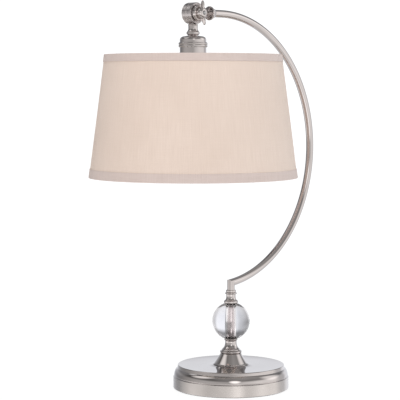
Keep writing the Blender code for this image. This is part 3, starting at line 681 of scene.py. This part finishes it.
def lower_ball_cup():
    """Vase with a thin lip round the lower washer."""
    foot = heights("lower_ball_cup")[0]
    floor = BALL.z - CUP_LIP
    washer = width("lower_ball_washer")
    profile = [(ROD_HOLE, floor), (washer + GAP, floor), (SEAT_RADIUS, floor + 1.85), (11.3, floor + 1.95)]
    profile += [(11.8, floor + 1.3), (11.5, floor + 0.5), (10.6, floor - 0.3)]
    profile += bend((10.1, floor - 1.6), (9.2, foot + 7.5), (14.4, foot + 2.5), 18)
    profile += [(15.6, foot + 1.3), (15.6, foot), (ROD_HOLE, foot)]
    turned("lower_ball_cup", profile, edge=0.35)


def upper_ball_cup():
    """Cup with a wide lip on the ball and a waist that draws in to the post's collar."""
    top = heights("upper_ball_cup")[1]
    floor = BALL.z + CUP_LIP
    profile = bend((8.4, top), (7.4, floor + 4.4), (11.2, floor + 2.4), 18)
    profile += [(12.3, floor + 1.7), (12.3, floor - 1.3), (11.4, floor - 1.95)]
    profile += [(SEAT_RADIUS, floor - 1.85), (SEAT_RADIUS, floor), (ROD_HOLE, floor), (ROD_HOLE, top)]
    turned("upper_ball_cup", profile, edge=0.35)


def post_collar():
    """Flange with a beaded edge and a short socket that the post stands in."""
    foot, top = heights("post_collar")
    bore = width("arm_tube") + GAP
    bead = 1.35
    step = foot + 4.4
    profile = [(bore, top), (8.4, top), (8.8, top - 0.5), (8.8, foot + 3.9), (7.9, foot + 3.2)]
    profile += arc((9.1, foot + bead), bead, 90, -90, 14)
    profile += [(ROD_HOLE, foot), (ROD_HOLE, step), (bore, step)]
    turned("post_collar", profile, edge=0.25)


# Arm ----------------------------------

BOW_X = -26.6  # centre of the bow's circle
BOW_RADIUS = 230.9
BOW_STEPS = 150


def arm_path():
    """Middles of the tube's cross-sections, each with the two directions across it."""
    low = limits("arm_tube")[0]
    bow_z = JOINT.z - BOW_RADIUS
    start = -math.acos(-BOW_X / BOW_RADIUS)
    corner = Vector((0, 0, bow_z + BOW_RADIUS * math.sin(start)))
    post_across = Vector((-1, 0, 0))
    bow_across = -Vector((math.cos(start), 0, math.sin(start)))
    mitre = (post_across + bow_across).normalized()
    path = [(Vector((0, 0, low.z)), post_across), (corner, mitre / mitre.dot(post_across))]
    for i in range(1, BOW_STEPS + 1):
        angle = start + (math.pi / 2 - start) * i / BOW_STEPS
        out = Vector((math.cos(angle), 0, math.sin(angle)))
        path.append((Vector((BOW_X, 0, bow_z)) + out * BOW_RADIUS, -out))
    path.append((Vector((low.x, 0, JOINT.z)), Vector((0, 0, -1))))
    side = Vector((0, 1, 0))
    return [(middle, across, side) for middle, across in path]


def arm_tube():
    """Hollow tube, as wide as the many-sided CAD tube is between its flats."""
    radius = width("arm_tube")
    wall = 1.0
    shape = bmesh.new()
    outer, inner = (rings_along(shape, arm_path(), 48, skin) for skin in (radius, radius - wall))
    ends = [(outer[0], inner[0]), (outer[-1], inner[-1])]
    bridge(shape, in_turn(outer) + in_turn(inner) + ends)
    dress("arm_tube", finished(shape, "arm_tube", sharp=18))


def arm_ferrule():
    """Turned cone over the tube's end."""
    low, high = limits("arm_ferrule")
    reach = high.x - low.x
    wide = width("arm_ferrule")
    bore = width("arm_tube") + GAP
    step = reach - 2.6
    profile = [(FERRULE_HOLE, reach), (wide - 0.8, reach), (wide, reach - 0.9), (wide, reach - 2.4)]
    profile += bend((wide - 1.2, reach - 4.0), (9.4, 3.4), (8.2, 1.9), 12)
    profile += [(8.5, 1.2), (7.9, 0), (bore, 0), (bore, step), (FERRULE_HOLE, step)]
    turned("arm_ferrule", profile, spot=(high.x, 0, JOINT.z), turn=BACK_ALONG_ARM, edge=0.4)


def arm_eye():
    """Flat eye on a thin neck, with a spigot that plugs the tube."""
    wide = JOINT.x - limits("arm_eye")[0].x
    half = limits("friction_washer")[0].y - JOINT.y - GAP
    eye = turned_mesh("arm_eye", ring_profile(BOLT_HOLE, wide, -half, half), edge=1.0)
    face = limits("arm_ferrule")[0].x - GAP - JOINT.x
    clear = DRUM_RADIUS + 2 * GAP
    spigot = FERRULE_HOLE - GAP
    thin = 2.8
    neck = [(0, face + 17), (spigot, face + 17), (spigot, face), (5.9, face), (5.9, clear)]
    neck += [(thin, clear - 1.4), (thin, wide - 4), (0, wide - 4)]
    stalk = turned_mesh("neck", neck, False, 0.3, 64)
    eye = boolean(eye, stalk, "UNION", ALONG_BOLT.inverted() @ INTO_ARM)
    dress("arm_eye", eye, JOINT, ALONG_BOLT)


# Tilt joint ---------------------------


def swivel_drum():
    """Reeded drum with a groove round its middle, a chamfered near rim and a hole for the stem."""
    low, high = limits("swivel_drum")
    near, far = low.y, high.y
    rim = DRUM_RADIUS
    middle = (near + far) / 2
    floor = near + 2.6
    bore = rim - DRUM_WALL
    pitch = (far - near) / 6
    step = 0.1

    def reeds(radius, height, _angle):
        if radius < rim - 0.2:
            return radius
        return radius - 0.2 * (1 + math.cos(2 * math.pi * (height - near) / pitch))

    upper = [(rim, far - 1.8 - i * step) for i in range(int((far - middle - 3.3) / step))]
    lower = [(rim, middle - 1.6 - i * step) for i in range(int((middle - near - 3.3) / step))]
    groove = [(rim, middle + 0.9), (rim - 1.0, middle + 0.4), (rim - 1.0, middle - 0.4), (rim, middle - 0.9)]
    profile = [(rim - 2.0, far), (rim - 0.9, far), (rim, far - 1.0)] + upper + groove + lower
    profile += [(rim, near + 1.3), (rim - 1.2, near), (rim - 2.2, near), (rim - 2.4, near + 1.4)]
    profile += [(rim - 3.2, near + 1.4), (rim - 3.4, near), (BOLT_HOLE, near)]
    profile += [(BOLT_HOLE, floor), (bore, floor), (bore, far)]
    mesh = turned_mesh("swivel_drum", profile, ripple=reeds)
    place = ALONG_BOLT.inverted() @ Matrix.Translation(Vector((0, HEAD.y, 0)) * MM)
    mesh = boolean(mesh, plug(STEM_HOLE, -30, -8, 48), "DIFFERENCE", place)
    dress("swivel_drum", mesh, JOINT, ALONG_BOLT)


def drum_cap():
    """Domed plate that closes the drum's far side."""
    far = limits("swivel_drum")[1].y
    edge = DRUM_RADIUS - DRUM_WALL - GAP
    cap = [(BOLT_HOLE, far + 0.6)] + bend((5.0, far + 0.6), (11.0, far + 0.5), (edge - 1.0, far - 0.4), 12)
    cap += [(edge, far - 1.0), (edge, far - 2.2), (BOLT_HOLE, far - 1.4)]
    turned("drum_cap", cap, spot=JOINT, turn=ALONG_BOLT)


def clamp_bolt():
    """Domed bolt with a real helix where it stands out of the wing nut."""
    low, high = limits("clamp_bolt")
    radius = 3.0
    head = high.y - 2.6
    pitch = 1.0
    thread_end = 2.0
    step = 0.125

    def helix(out, height, angle):
        if out < radius - 0.01 or height > thread_end:
            return out
        phase = (height / pitch + angle / (2 * math.pi)) % 1.0
        return radius - 0.45 * (1 - abs(2 * phase - 1))

    shank = [(radius, thread_end - i * step) for i in range(int((thread_end - low.y - 1.0) / step))]
    profile = bend((0, head + 2.6), (4.6, head + 2.6), (6.2, head + 0.6), 10) + [(6.2, head), (radius, head)]
    profile += shank + [(radius - 0.5, low.y + 0.5), (radius - 0.9, low.y), (0, low.y)]
    mesh = turned_mesh("clamp_bolt", profile, False, 0.2, 48, helix)
    dress("clamp_bolt", mesh, JOINT, ALONG_BOLT)


def squared(value):
    """Pushes a sine or cosine outwards, which makes a circle a little more square."""
    return math.copysign(abs(value) ** 0.8, value)


def wing(side, foot, span):
    """One leaf-shaped wing: broad in the middle, thinner and rounded towards its tip."""
    lower = bend((4.2, foot + 0.7), (13.5, foot + 0.4), (span - 1.6, 7.2), 16)
    lower += bend((span - 1.6, 7.2), (span, 8.2), (span, 9.5), 6)[1:]
    upper = bend((4.2, 10.6), (13.0, 15.4), (span - 1.8, 12.0), 16)
    upper += bend((span - 1.8, 12.0), (span, 11.2), (span, 9.8), 6)[1:]
    sides = 24
    tip = 0.72  # share of the span where the wing starts to thin out to its tip
    shape = bmesh.new()
    rings = []
    for i, (low, high) in enumerate(zip(lower, upper)):
        share = i / (len(lower) - 1)
        middle = (Vector(low) + Vector(high)) / 2
        half = (Vector(high) - Vector(low)) / 2
        thick = (1.5 - 0.5 * share) * math.sqrt(1 - 0.95 * (max(0.0, share - tip) / (1 - tip)) ** 2)
        ring = []
        for k in range(sides):
            turn = 2 * math.pi * k / sides
            reach, along = middle + half * squared(math.sin(turn))
            out = squared(math.cos(turn)) * thick
            ring.append(shape.verts.new(Vector((out, reach * side, along)) * MM))
        rings.append(ring)
    return capped(shape, rings, "wing")


def wing_nut():
    """Turned hub with a dome and two forged wings that lean a little from the vertical."""
    foot = JOINT.y - limits("wing_nut")[1].y
    end = 12.0
    lean = Matrix.Rotation(math.radians(6.0), 4, "Z")
    hub = [(BOLT_HOLE, end), (5.0, end)] + bend((5.4, end - 0.1), (9.6, 10.6), (10.0, 7.4), 12)
    hub += [(10.0, foot + 0.5), (9.5, foot), (BOLT_HOLE, foot)]
    nut = turned_mesh("wing_nut", hub, edge=0.4, steps=64)
    for side in (1, -1):
        nut = boolean(nut, wing(side, foot, 20.6), "UNION")
    dress("wing_nut", nut, JOINT, OUT_OF_EYE @ lean)


# Socket -------------------------------


def socket_stem():
    """Hollow turned stem with a bead, a waist and a flared foot."""
    foot = drops("socket_stem")[0]
    top = -(DRUM_RADIUS + GAP)
    cup_top = drops("socket_cup")[1]
    wide = width("socket_stem")
    waist = 8.2
    stem = [(STEM_THREAD, top + 6.0), (STEM_THREAD, top), (7.6, top), (8.6, top - 1.2), (8.6, top - 2.4)]
    stem += [(waist, top - 3.0), (waist, -26.0)] + bend((waist, -26.4), (9.0, -30.2), (wide, -31.6), 10)
    stem += [(wide, -35.0), (9.4, -36.2), (9.2, cup_top + GAP), (STEM_THREAD, cup_top + GAP)]
    stem += [(STEM_THREAD, foot), (3.2, foot), (3.2, top + 6.0)]
    turned("socket_stem", stem, spot=HEAD, edge=0.4, steps=64)


def socket_cup():
    """Drawn cup: low dome, rounded shoulder and a long straight wall with the switch's hole."""
    end, top = drops("socket_cup")
    radius = width("socket_cup")
    bore = radius - 1.0
    flat = 11.0
    outside = [(STEM_HOLE, top), (flat, top)]
    outside += bend((14.0, top - 0.4), (radius, top - 1.4), (radius, top - 7.0), 16) + [(radius, end)]
    inside = [(bore, end), (bore, top - 7.4), (19.4, top - 4.0), (flat, top - 1.0), (STEM_HOLE, top - 1.0)]
    mesh = turned_mesh("socket_cup", outside + inside, edge=0.4)
    dress("socket_cup", boolean(mesh, plug(SWITCH_HOLE, 10, 30), "DIFFERENCE", SWITCH_PLACE), HEAD)


def socket_ring():
    """Ring around the cup with a groove round its middle."""
    end, top = drops("socket_ring")
    bore = width("socket_cup") + GAP
    wide = width("socket_ring")
    middle = (top + end) / 2
    ring = [(bore, top), (wide - 1.0, top), (wide, top - 1.0), (wide, middle + 0.9)]
    ring += [(wide - 0.5, middle + 0.3), (wide - 0.5, middle - 0.3), (wide, middle - 0.9)]
    ring += [(wide, end + 1.0), (wide - 1.0, end), (bore, end)]
    turned("socket_ring", ring, spot=HEAD, edge=0.35)


def lampholder():
    """Moulded body with a boss, a cavity for the bulb's cap and a threaded skirt below the cup."""
    end, top = drops("lampholder")
    radius = width("lampholder")
    boss = 8.2
    bore = 15.7
    hole = STEM_THREAD + 2 * GAP
    floor = top - 22.0
    skirt = drops("socket_cup")[0] - GAP
    helix = screw_thread(radius, 2.5, 0.7)

    def threaded(out, height, angle):
        return helix(out, height, angle) if height < skirt else out

    outside = [(boss, top), (boss, top - 12.0), (radius, top - 13.5), (radius, skirt + 0.1)]
    outside += rows(radius, skirt - 0.1, end + 0.6) + [(radius - 0.6, end), (bore, end)]
    inside = [(bore, floor), (hole, floor), (hole, top)]
    mesh = turned_mesh("lampholder", outside + inside, edge=0.5, ripple=threaded)
    dress("lampholder", boolean(mesh, plug(2.6, 17.6, 30), "DIFFERENCE", SWITCH_PLACE), HEAD)


def shade_ring():
    """Ribbed ring on the lampholder's skirt."""
    foot, top = drops("shade_ring")
    bore = width("lampholder") + 2 * GAP
    wide = width("shade_ring")
    grip = ribs(wide - 0.2, 40, 0.6)
    turned("shade_ring", ring_profile(bore, wide, foot, top), spot=HEAD, edge=0.7, steps=240, ripple=grip)


def switch_knob():
    """Ribbed turn knob on a thin shaft, its heights measured out from the socket's axis."""
    shaft = 2.0
    knob = [(0, 46.0), (4.4, 46.0), (5.4, 45.0), (5.4, 37.0), (4.0, 33.6), (shaft, 32.4)]
    knob += [(shaft, 18.2), (0, 18.2)]
    mesh = turned_mesh("switch_knob", knob, False, 0.6, 120, ribs(4.6, 20, 0.5))
    dress("switch_knob", mesh, SWITCH, BACK_ALONG_ARM)


def bulb_glass():
    """Pear-shaped envelope: a ball that draws in to a neck, with a thin wall."""
    tip, neck = drops("bulb_glass")
    radius = width("bulb_glass")
    belly = tip + radius
    skin = 0.8
    outside = bend((12.9, neck), (13.6, neck - 19.7), (24.6, belly + 17.2), 24)
    outside += arc((0, belly), radius, 34, -90, 40)[1:]
    outside[-1] = (0, tip)
    inside = [(0, tip + skin)] + arc((0, belly), radius - skin, -86, 34, 30)
    inside += bend((23.8, belly + 17.0), (12.8, neck - 20.1), (12.1, neck), 24)
    envelope = turned("bulb_glass", inside + outside, False, HEAD, edge=0)
    envelope.visible_shadow = False  # light reaches the cap


def bulb_cap():
    """Rolled screw cap that narrows to its contact."""
    foot, top = drops("bulb_cap")
    wide = 13.2
    cap = [(0, top), (4.6, top), (4.6, top - 0.8), (12.4, top - 4.2), (wide, top - 5.2)]
    cap += rows(wide, top - 5.4, top - 22.3)
    cap += [(wide, foot), (11.0, foot), (11.0, top - 9.8), (0, top - 9.8)]
    turned("bulb_cap", cap, False, HEAD, edge=0.3, ripple=screw_thread(wide, 3.6, 1.1))


# Shade --------------------------------

TAPE = 0.7
CLOTH = 0.9
WIRE = 1.6
TOP_REACH = 12.5  # of each tape's outer leg
END_REACH = 15.0
CLOTH_INSET = TAPE + GAP
WIRE_INSET = CLOTH_INSET + CLOTH + GAP + 0.2 + WIRE
FOLD_INSET = WIRE_INSET + WIRE + GAP
SHADE_TOP = drops("shade_top_trim")[1]
SHADE_END = drops("shade_bottom_trim")[0]
END_RADIUS = width("shade_bottom_trim")
SLOPE = (END_RADIUS - width("shade_top_trim")) / (SHADE_END - SHADE_TOP + TOP_REACH)


def shade_face(height, inset=0.0):
    """A point of a profile that follows the shade's outer face, less an inset."""
    return (END_RADIUS + SLOPE * (height - SHADE_END) - inset, height)


def shade_fabric():
    """Linen cone with very faint waves, and its lining on the inside."""
    top = SHADE_TOP - CLOTH_INSET
    end = SHADE_END + CLOTH_INSET
    levels = 48

    def drape(radius, height, angle):
        ease = math.sin(math.pi * (height - SHADE_TOP) / (SHADE_END - SHADE_TOP))
        wave = math.sin(7 * angle + 1.0) + 0.6 * math.sin(16 * angle + 0.02 * height)
        return radius + 0.18 * ease * wave

    def faces_in(middle, normal):
        return normal.dot(Vector((middle.x, middle.y, 0))) < 0

    outside = [shade_face(top + (end - top) * i / levels, CLOTH_INSET) for i in range(levels + 1)]
    inside = [shade_face(height, CLOTH_INSET + CLOTH) for height in (end, top)]
    cone = turned("shade_fabric", outside + inside, spot=HEAD, edge=0.1, steps=240, ripple=drape)
    recoat(cone, "shade_lining", faces_in)


def shade_tape(node, edge, reach, leg, into):
    """Tape folded over an edge, with its outer and inner leg; into is 1 where the shade lies above."""
    web = edge + into * TAPE
    foot = edge + into * reach
    inner = edge + into * leg
    last = FOLD_INSET + TAPE
    corners = [(0, edge), (0, foot), (TAPE, foot), (TAPE, web)]
    corners += [(FOLD_INSET, web), (FOLD_INSET, inner), (last, inner), (last, edge)]
    profile = [shade_face(height, inset) for inset, height in corners]
    turned(node, profile, spot=HEAD, edge=0.3, steps=WIDE)


def hoop(height):
    """Cross-section of a wire hoop inside the shade."""
    return arc(shade_face(height, WIRE_INSET), WIRE, 0, -345, 23)


def spoke(start, rim, drop):
    """A wire from the fitter out to the top hoop, with a bend near each end."""
    route = [(22.4, start - 1.2)] + bend((30.0, start - 1.0), (36.0, start - 0.8), (44.0, start + 1.7), 6)
    route += bend((rim - 22.0, drop - 6.2), (rim - 8.0, drop - 2.0), (rim - 0.4, drop - 0.9), 8)
    path = []
    for k, (out, height) in enumerate(route):
        before = Vector(route[max(k - 1, 0)])
        after = Vector(route[min(k + 1, len(route) - 1)])
        run = (after - before).normalized()
        path.append((Vector((out, 0, height)), Vector((-run.y, 0, run.x)), Vector((0, 1, 0))))
    shape = bmesh.new()
    return capped(shape, rings_along(shape, path, 16, WIRE), "spoke")


def shade_spider():
    """Fitter ring, three spokes and the top hoop, welded together."""
    drop = SHADE_TOP - TAPE - GAP - WIRE
    rim = shade_face(drop, WIRE_INSET)[0]
    top = drops("socket_cup")[0] - GAP
    bore = width("lampholder") + 2 * GAP
    mesh = turned_mesh("shade_spider", ring_profile(bore, 23.6, top - 2.4, top), edge=0.5)
    for i in range(3):
        turn = Matrix.Rotation(math.radians(90 + 120 * i), 4, "Z")
        mesh = boolean(mesh, spoke(top, rim, drop), "UNION", turn)
    mesh = boolean(mesh, turned_mesh("hoop", hoop(drop), edge=0, steps=WIDE), "UNION")
    dress("shade_spider", mesh, HEAD)


def shade():
    shade_fabric()
    shade_tape("shade_top_trim", SHADE_TOP, TOP_REACH, 2.0, -1)
    shade_tape("shade_bottom_trim", SHADE_END, END_REACH, 7.0, 1)
    turned("shade_bottom_wire", hoop(SHADE_END + TAPE + GAP + WIRE), spot=HEAD, edge=0, steps=WIDE)
    shade_spider()


# Studio -------------------------------

RIGHT = Vector((1, -1, 0)).normalized()
AHEAD = Vector((1, 1, 0)).normalized()
UP = Vector((0, 0, 1))
WHITE = 1.1  # strength of the background that the camera sees
FLOOR_RADIUS = 0.55
CAMERA_PITCH = 0.07178  # radians below the horizon
COOL = (0.92, 0.95, 1.0)  # light from behind the lamp
WARM = (1.0, 0.985, 0.965)  # light from the camera's side

# What the metal and the glass see of the studio. Directions are in degrees: to the right of straight
# behind the lamp, and above the horizon. This is the brightness of the room on each side.
ROOM = (
    (-180, 0.50), (-150, 0.52), (-121, 0.55), (-100, 0.50), (-75, 0.34),
    (-60, 0.27), (-44, 0.29), (-35, 0.37), (-28, 0.47), (-20, 0.57),
    (-13, 0.76), (-8, 0.90), (38, 1.00), (49, 0.62), (66, 0.64),
    (80, 0.95), (124, 0.95), (157, 0.75), (180, 0.50),
)
# The share of the room's brightness that is left at each height
HEIGHTS = (
    (-90, 0.05), (-45, 0.20), (-14, 0.80), (-4, 1.0), (0, 1.0),
    (11, 1.0), (24, 0.28), (55, 0.36), (90, 0.42),
)
# The table top's brightness at each height, the same on every side
TABLE = ((-90, 0.62), (-40, 0.60), (-14, 0.20), (-3, 0.0), (90, 0.0))
# Bright streaks on the table round the base: their brightness on each side, and the share at each height
STREAKS = (
    (-180, 0.55), (-163, 0.42), (-146, 0.25), (-130, 0.12), (-112, 0.42),
    (-92, 0.68), (-66, 0.32), (-52, 0.0), (100, 0.0), (114, 0.25),
    (130, 0.0), (150, 0.0), (165, 0.8), (180, 0.55),
)
STREAK_HEIGHTS = ((-90, 0.0), (-50, 0.5), (-25, 1.0), (-9, 1.0), (-5, 0.0), (90, 0.0))
# Round bright panels: side, height, how far from their middle they are full and gone, and brightness
PANELS = (
    (173, 17, 5, 13, 1.2),
    (180, 45, 10, 36, 0.12),
    (84, 28, 10, 26, 0.7),
    (-98, 48, 8, 24, 0.9),
    (-45, 26, 8, 26, 0.16),
    (-42, 46, 3, 7, 0.9),
)


def from_camera(right, ahead, up):
    """A point given along the camera's level axes, in metres, from the origin under the lamp."""
    return RIGHT * right + AHEAD * ahead + UP * up


def camera():
    lens = bpy.data.cameras.new("camera")
    lens.sensor_width = 36.0
    lens.lens = 144.74
    lens.clip_end = 30.0
    made = add("camera", lens)
    look = AHEAD * math.cos(CAMERA_PITCH) - UP * math.sin(CAMERA_PITCH)
    made.rotation_mode = "QUATERNION"
    made.rotation_quaternion = look.to_track_quat("-Z", "Y")
    made.location = from_camera(-0.0535, -2.7566, 0.5238)
    bpy.context.scene.camera = made


def unseen_in_metal(made):
    """Hides an object from reflections and from what shows through glass."""
    made.visible_glossy = False
    made.visible_transmission = False


def softbox(name, spot, aim, size, power, colour=(1.0, 1.0, 1.0)):
    """A square light on the cloth and the floor that doesn't show in the metal or the glass."""
    light = bpy.data.lights.new(name, "AREA")
    light.shape = "SQUARE"
    light.size = size
    light.energy = power
    light.color = colour
    made = add(name, light)
    made.location = spot
    made.rotation_mode = "QUATERNION"
    made.rotation_quaternion = (Vector(aim) - Vector(spot)).to_track_quat("-Z", "Y")
    unseen_in_metal(made)


def ramp(graph, value, stops, most):
    """A grey ramp over an angle, through stops placed between -most and most degrees."""
    node = graph.tree.nodes.new("ShaderNodeValToRGB")
    graph.link(graph.span(value, 0, 1, (math.radians(-most), math.radians(most))), node.inputs["Fac"])
    band = node.color_ramp
    for i, (place, level) in enumerate(stops):
        spot = (place + most) / (2 * most)
        stop = band.elements[i] if i < 2 else band.elements.new(spot)
        stop.position = spot
        stop.color = (level, level, level, 1.0)
    return node.outputs["Color"]


def panel(graph, side, height, full, gone, level):
    """A round bright patch in one direction, with a soft edge."""
    side, height, full, gone = (math.radians(value) for value in (side, height, full, gone))
    level_way = AHEAD * math.cos(side) + RIGHT * math.sin(side)
    way = level_way * math.cos(height) + UP * math.sin(height)
    return graph.span(graph.dot(way), 0, level, (math.cos(gone), math.cos(full)))


def sky():
    """Even white for the camera; for the metal and the glass, a studio that changes with direction."""
    world = bpy.data.worlds.new("studio")
    bpy.context.scene.world = world
    graph = Graph("studio", world)
    ahead, right, up = (graph.dot(axis) for axis in (AHEAD, RIGHT, UP))
    side = graph.math("ARCTAN2", right, ahead)
    height = graph.math("ARCSINE", up)
    room = graph.times(ramp(graph, side, ROOM, 180), ramp(graph, height, HEIGHTS, 90))
    streaks = graph.times(ramp(graph, side, STREAKS, 180), ramp(graph, height, STREAK_HEIGHTS, 90))
    level = graph.plus(room, graph.plus(ramp(graph, height, TABLE, 90), streaks))
    for values in PANELS:
        level = graph.plus(level, panel(graph, *values))
    seen = graph.background(level, graph.blend(graph.span(ahead, 0, 1, (0.2, 0.9)), WARM, COOL))
    white = graph.background(WHITE, (1.0, 1.0, 1.0))
    graph.link(graph.for_camera(seen, white), graph.output.inputs["Surface"])


def floor():
    """White table top, which the metal and the glass don't see: TABLE and STREAKS take its place."""
    shape = bmesh.new()
    bmesh.ops.create_circle(shape, cap_ends=True, segments=96, radius=FLOOR_RADIUS)
    mesh = bpy.data.meshes.new("floor")
    shape.to_mesh(mesh)
    shape.free()
    graph = Graph("floor_paper")
    paper = graph.blend(graph.noise(6.0, 2), (0.92, 0.92, 0.92), (0.90, 0.90, 0.90))
    graph.link(paper, graph.shader.inputs["Base Color"])
    graph.set(Roughness=0.9, Specular_IOR_Level=0.0)
    glow = graph.tree.nodes.new("ShaderNodeEmission")
    glow.inputs["Strength"].default_value = WHITE
    seen = graph.for_camera(graph.shader.outputs["BSDF"], glow.outputs[0], 0.8)
    graph.link(seen, graph.output.inputs["Surface"])
    mesh.materials.append(graph.material)
    made = add("floor", mesh)
    unseen_in_metal(made)


def studio():
    bpy.context.scene.view_settings.view_transform = "Standard"
    camera()
    sky()
    floor()
    lamp = (-0.02, 0.0, 0.35)
    softbox("overhead", from_camera(0.0, 0.1, 2.4), (0, 0, 0), 2.4, 16.0)
    softbox("front_fill", from_camera(0.15, -2.2, 1.75), lamp, 1.0, 17.4)
    softbox("left_fill", from_camera(-1.7, -1.2, 0.8), lamp, 0.9, 7.0)
    softbox("right_fill", from_camera(1.6, -1.2, 0.9), lamp, 0.9, 4.4, (0.7, 0.86, 1.0))
    softbox("rear_fill", from_camera(-0.3, 2.2, 1.6), lamp, 1.0, 10.0)


# Assembly -----------------------------

PIECES = (
    base_pad, base_shell, cord_bushing, base_bell, bell_collar, crystal_ball, ball_sleeve, lower_ball_cup,
    upper_ball_cup, post_collar, arm_tube, arm_ferrule, arm_eye, swivel_drum, drum_cap, clamp_bolt, wing_nut,
    socket_stem, socket_cup, socket_ring, lampholder, shade_ring, switch_knob, bulb_glass, bulb_cap, shade,
)

materials()
for build in PIECES:
    build()
studio()
